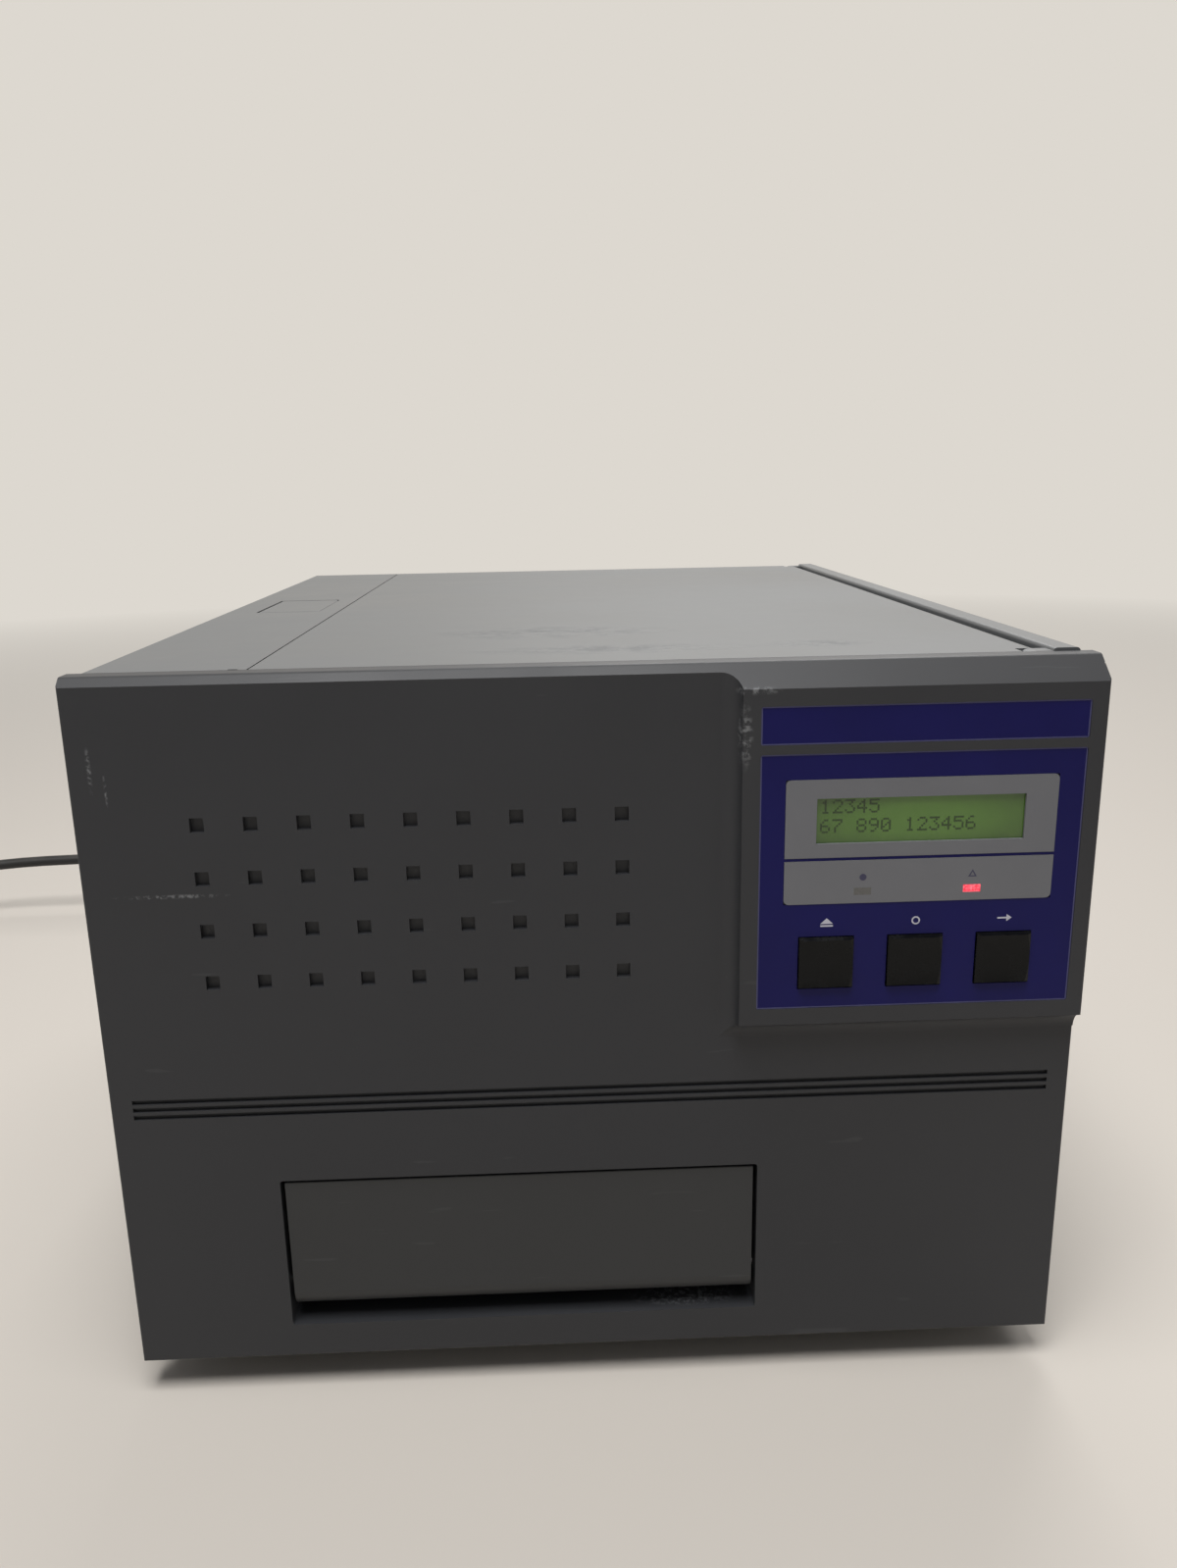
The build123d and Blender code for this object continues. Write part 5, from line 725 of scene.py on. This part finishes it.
def screws(name, seats, finish, body, scale=1.0):
    """Screws at (place, direction) seats in millimetres, all on one body."""
    mesh = bpy.data.meshes.new(name + "_seats")
    mesh.from_pydata([tuple(c * MM for c in place) for place, out in seats], [], [])
    direction = mesh.attributes.new("out", "FLOAT_VECTOR", "POINT")
    for at, (place, out) in enumerate(seats):
        direction.data[at].vector = out
    holder = bpy.data.objects.new(name + "_seats", mesh)
    bpy.context.scene.collection.objects.link(holder)
    modifier = holder.modifiers.new("seat_screws", "NODES")
    modifier.node_group = seat_screws
    modifier[screw_inputs["head"]] = pan_head
    modifier[screw_inputs["size"]] = scale
    modifier[screw_inputs["finish"]] = finish
    bpy.context.view_layer.update()
    ready = holder.evaluated_get(bpy.context.evaluated_depsgraph_get())
    made = bpy.data.objects.new(name, bpy.data.meshes.new_from_object(ready))
    holder.modifiers.clear()
    bpy.data.objects.remove(holder)
    bpy.context.scene.collection.objects.link(made)
    if "out" in made.data.attributes:
        made.data.attributes.remove(made.data.attributes["out"])
    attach(made, body)
    return made


# the ways that screw heads face
back = (0, 1, 0)
down = (0, 0, -1)
left_out = (-1, 0, 0)
rear_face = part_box("rear_panel")[1][1] / MM
rear_seats = [((-138.0, rear_face, z), back) for z in (22.0, 92.0, 150.0, 205.0)]
rear_seats += [((134.0, rear_face, z), back) for z in (22.0, 92.0)]
rear_seats += [((x, rear_face, 21.0), back) for x in (-60.0, 0.0, 56.0)]
screws("rear_panel_screws", rear_seats, screw_black, "case")

fan_low, fan_high = (Vector(corner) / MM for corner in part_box("fan_frame"))
fan_middle = (fan_low + fan_high) / 2
fan_hole_reach = 35.75        # half the pitch of an 80 mm fan's holes
guard_eye = 1.2               # the heads sit on the guard's eyes
fan_seats = [((fan_middle.x + side, rear_face + guard_eye, fan_middle.z + rise), back)
             for side in (-fan_hole_reach, fan_hole_reach) for rise in (-fan_hole_reach, fan_hole_reach)]
screws("fan_screws", fan_seats, screw_zinc, "case", 1.1)

base_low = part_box("chassis_base")[0][2] / MM
base_seats = [((x, y, base_low), down) for x in (-136.0, 136.0) for y in (-100.0, 0.0, 100.0)]
base_seats += [((x, y, base_low), down) for x in (-98.0, 49.0) for y in (-140.0, -20.0, 120.0)]
screws("base_screws", base_seats, screw_zinc, "case")

plate_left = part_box("left_frame_plate")[0][0] / MM
plate_seats = [((plate_left, y, z), left_out)
               for y, z in ((-145.0, 60.0), (-60.0, 60.0), (40.0, 60.0), (100.0, 72.0))]
screws("left_plate_screws", plate_seats, screw_zinc, "case")

inlet_low, inlet_high = (Vector(corner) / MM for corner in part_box("mains_inlet"))
inlet_middle = (inlet_low + inlet_high) / 2
inlet_screw_reach = 20.0      # half the 40 mm pitch of the inlet's ears
inlet_seats = [((inlet_middle.x + side * inlet_screw_reach, inlet_high.y, inlet_middle.z), back)
               for side in (-1, 1)]
screws("inlet_screws", inlet_seats, screw_black, "case", 0.9)
bpy.data.objects.remove(pan_head)


# ------------------------------------------------------------------ mains lead
cord_radius = 3.5 * MM
route = [
    (-110.0, 234.5, 48.0), (-110.0, 256.0, 48.0), (-121.0, 275.0, 47.6), (-140.0, 286.0, 46.9),
    (-172.0, 289.0, 45.4), (-236.0, 289.8, 41.4), (-318.0, 288.8, 37.5), (-400.0, 287.6, 36.4),
    (-446.0, 276.0, 30.5), (-477.0, 247.0, 19.0), (-487.0, 209.0, 7.0), (-488.0, 174.0, 3.5)]
coil_start = Vector((-488.0, 150.0, 3.5)) * MM
coil_radius = 50.0 * MM
coil_pitch = 7.6 * MM
coil_layer = 7.6 * MM
coil_half_turns = 5
coil_tail = 45.0 * MM
points_per_half_turn = 8


def coil_points():
    """The coil: half turns in, a tilted one up to the second layer, half turns out, a straight tail."""
    steps = list(range(coil_half_turns)) + [coil_half_turns] + list(range(coil_half_turns - 1, 0, -1))
    point = coil_start.copy()
    forward = Vector((0, -1, 0))
    turn = math.pi / points_per_half_turn
    swell = 1 / (0.75 + 0.25 * math.cos(turn))
    points = [point.copy()]
    for n, step in enumerate(steps):
        radius = coil_radius - step * coil_pitch / 2
        inward = Vector((-forward.y, forward.x, 0))
        if n == coil_half_turns:
            tilt = math.asin(coil_layer / (2 * radius))
            inward = inward * math.cos(tilt) + Vector((0, 0, math.sin(tilt)))
        centre = point + inward * radius
        for k in range(1, points_per_half_turn):
            angle = k * turn
            points.append(centre + (forward * math.sin(angle) - inward * math.cos(angle)) * radius * swell)
        point = centre + inward * radius
        points.append(point.copy())
        forward = -forward
    points += [point + forward * coil_tail * share for share in (0.3, 0.65, 1.0)]
    return points


def mains_lead():
    """The whole lead as one smooth spline, from the connector's relief to the plug's."""
    points = [Vector(point) * MM for point in route] + coil_points()
    curve = bpy.data.curves.new("mains_lead", "CURVE")
    curve.dimensions = "3D"
    spline = curve.splines.new("NURBS")
    spline.points.add(len(points) - 1)
    for made, point in zip(spline.points, points):
        made.co = (*point, 1.0)
    spline.order_u = 3
    spline.use_endpoint_u = True
    spline.resolution_u = 5
    curve.bevel_depth = cord_radius
    curve.bevel_resolution = 3
    curve.use_fill_caps = True
    curve.materials.append(sheathing)
    made = bpy.data.objects.new("mains_lead", curve)
    bpy.context.scene.collection.objects.link(made)
    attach(made, "case")
    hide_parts("power_cord", "cord_coil")
    return made


lead = mains_lead()


# ------------------------------------------------------------------ camera, floor and light
focal_pixels = 1203.8         # the fitted lens, in pixels of the photograph's 1200 wide frame
frame_pixels = 1200
film_width = 36.0
eye = (-0.0106, -0.5187, 0.290)
eye_turn = (0.2516, -0.0227, 0.0333)     # from looking along +Y, as an axis times its angle


def place_camera():
    """The photograph's viewpoint: slightly left of the middle, looking a little down at the front."""
    turn = Vector(eye_turn)
    right, forward, upward = Matrix.Rotation(turn.length, 3, turn.normalized())
    lens = bpy.data.cameras.new("viewpoint")
    lens.sensor_fit = "HORIZONTAL"
    lens.sensor_width = film_width
    lens.lens = film_width * focal_pixels / frame_pixels
    lens.clip_start = 0.01
    camera = bpy.data.objects.new("viewpoint", lens)
    camera.matrix_world = Matrix.Translation(eye) @ Matrix(
        (right, upward, -forward)).transposed().to_4x4()
    bpy.context.scene.collection.objects.link(camera)
    bpy.context.scene.camera = camera


def pale_floor():
    """A wide plain floor, so that the horizon lies far behind the object."""
    work = bmesh.new()
    bmesh.ops.create_circle(work, cap_ends=True, segments=96, radius=12.0)
    for face in work.faces:
        if face.normal.z < 0:
            face.normal_flip()
    mesh = bpy.data.meshes.new("floor")
    work.to_mesh(mesh)
    work.free()
    material, tree, place = new_finish("pale_floor")
    skin = add(tree, SHADER, {"Base Color": linear("#cfc8bf"), "Roughness": 0.75, "IOR": 1.4})
    # far away, what the camera sees fades to the plain backdrop; the floor keeps its shadows
    seen = add(tree, "ShaderNodeLightPath", give="Is Camera Ray")
    distance = add(tree, VECTORS, {0: place}, give="Value", operation="LENGTH")
    far = add(tree, RANGE, {"Value": distance, "From Min": 0.7, "From Max": 2.6})
    far = add(tree, MATHS, {0: far, 1: seen}, operation="MULTIPLY")
    glow = add(tree, "ShaderNodeEmission", {"Color": linear("#ddd8d0"), "Strength": 1.0})
    blend = add(tree, "ShaderNodeMixShader", {"Fac": far, 1: skin, 2: glow})
    add(tree, SURFACE, {"Surface": blend})
    mesh.materials.append(material)
    floor = bpy.data.objects.new("floor", mesh)
    bpy.context.scene.collection.objects.link(floor)


def soft_lamp(name, place, size, watts):
    """A large square lamp that faces the object."""
    light = bpy.data.lights.new(name, "AREA")
    light.size = size
    light.energy = watts
    lamp = bpy.data.objects.new(name, light)
    lamp.location = place
    lamp.rotation_euler = (Vector((0, 0, 0.12)) - Vector(place)).to_track_quat("-Z", "Y").to_euler()
    bpy.context.scene.collection.objects.link(lamp)


def studio_world():
    """Pale surroundings: dim as a light, plain pale where the camera or a reflection sees them."""
    world = bpy.data.worlds.new("studio")
    world.use_nodes = True
    tree = world.node_tree
    tree.nodes.clear()
    path = add(tree, "ShaderNodeLightPath").node.outputs
    mirrored = add(tree, MATHS, {
        0: path["Is Glossy Ray"], 1: path["Is Transmission Ray"]}, operation="MAXIMUM")
    seen = add(tree, MATHS, {0: path["Is Camera Ray"], 1: mirrored}, operation="MAXIMUM")
    strength = add(tree, RANGE, {"Value": seen, "To Min": 0.20, "To Max": 1.0})
    shade = add(tree, MIX, {"Factor": seen, 6: linear("#f2f4f8"), 7: linear("#ddd8d0")},
                give=2, data_type="RGBA")
    sky = add(tree, "ShaderNodeBackground", {"Color": shade, "Strength": strength})
    add(tree, "ShaderNodeOutputWorld", {"Surface": sky})
    bpy.context.scene.world = world


place_camera()
pale_floor()
soft_lamp("top_softbox", (-0.15, -0.62, 1.8), 0.9, 30.0)
soft_lamp("back_softbox", (0.4, 1.30, 1.60), 1.2, 17.0)
studio_world()
bpy.context.scene.view_settings.view_transform = "Standard"
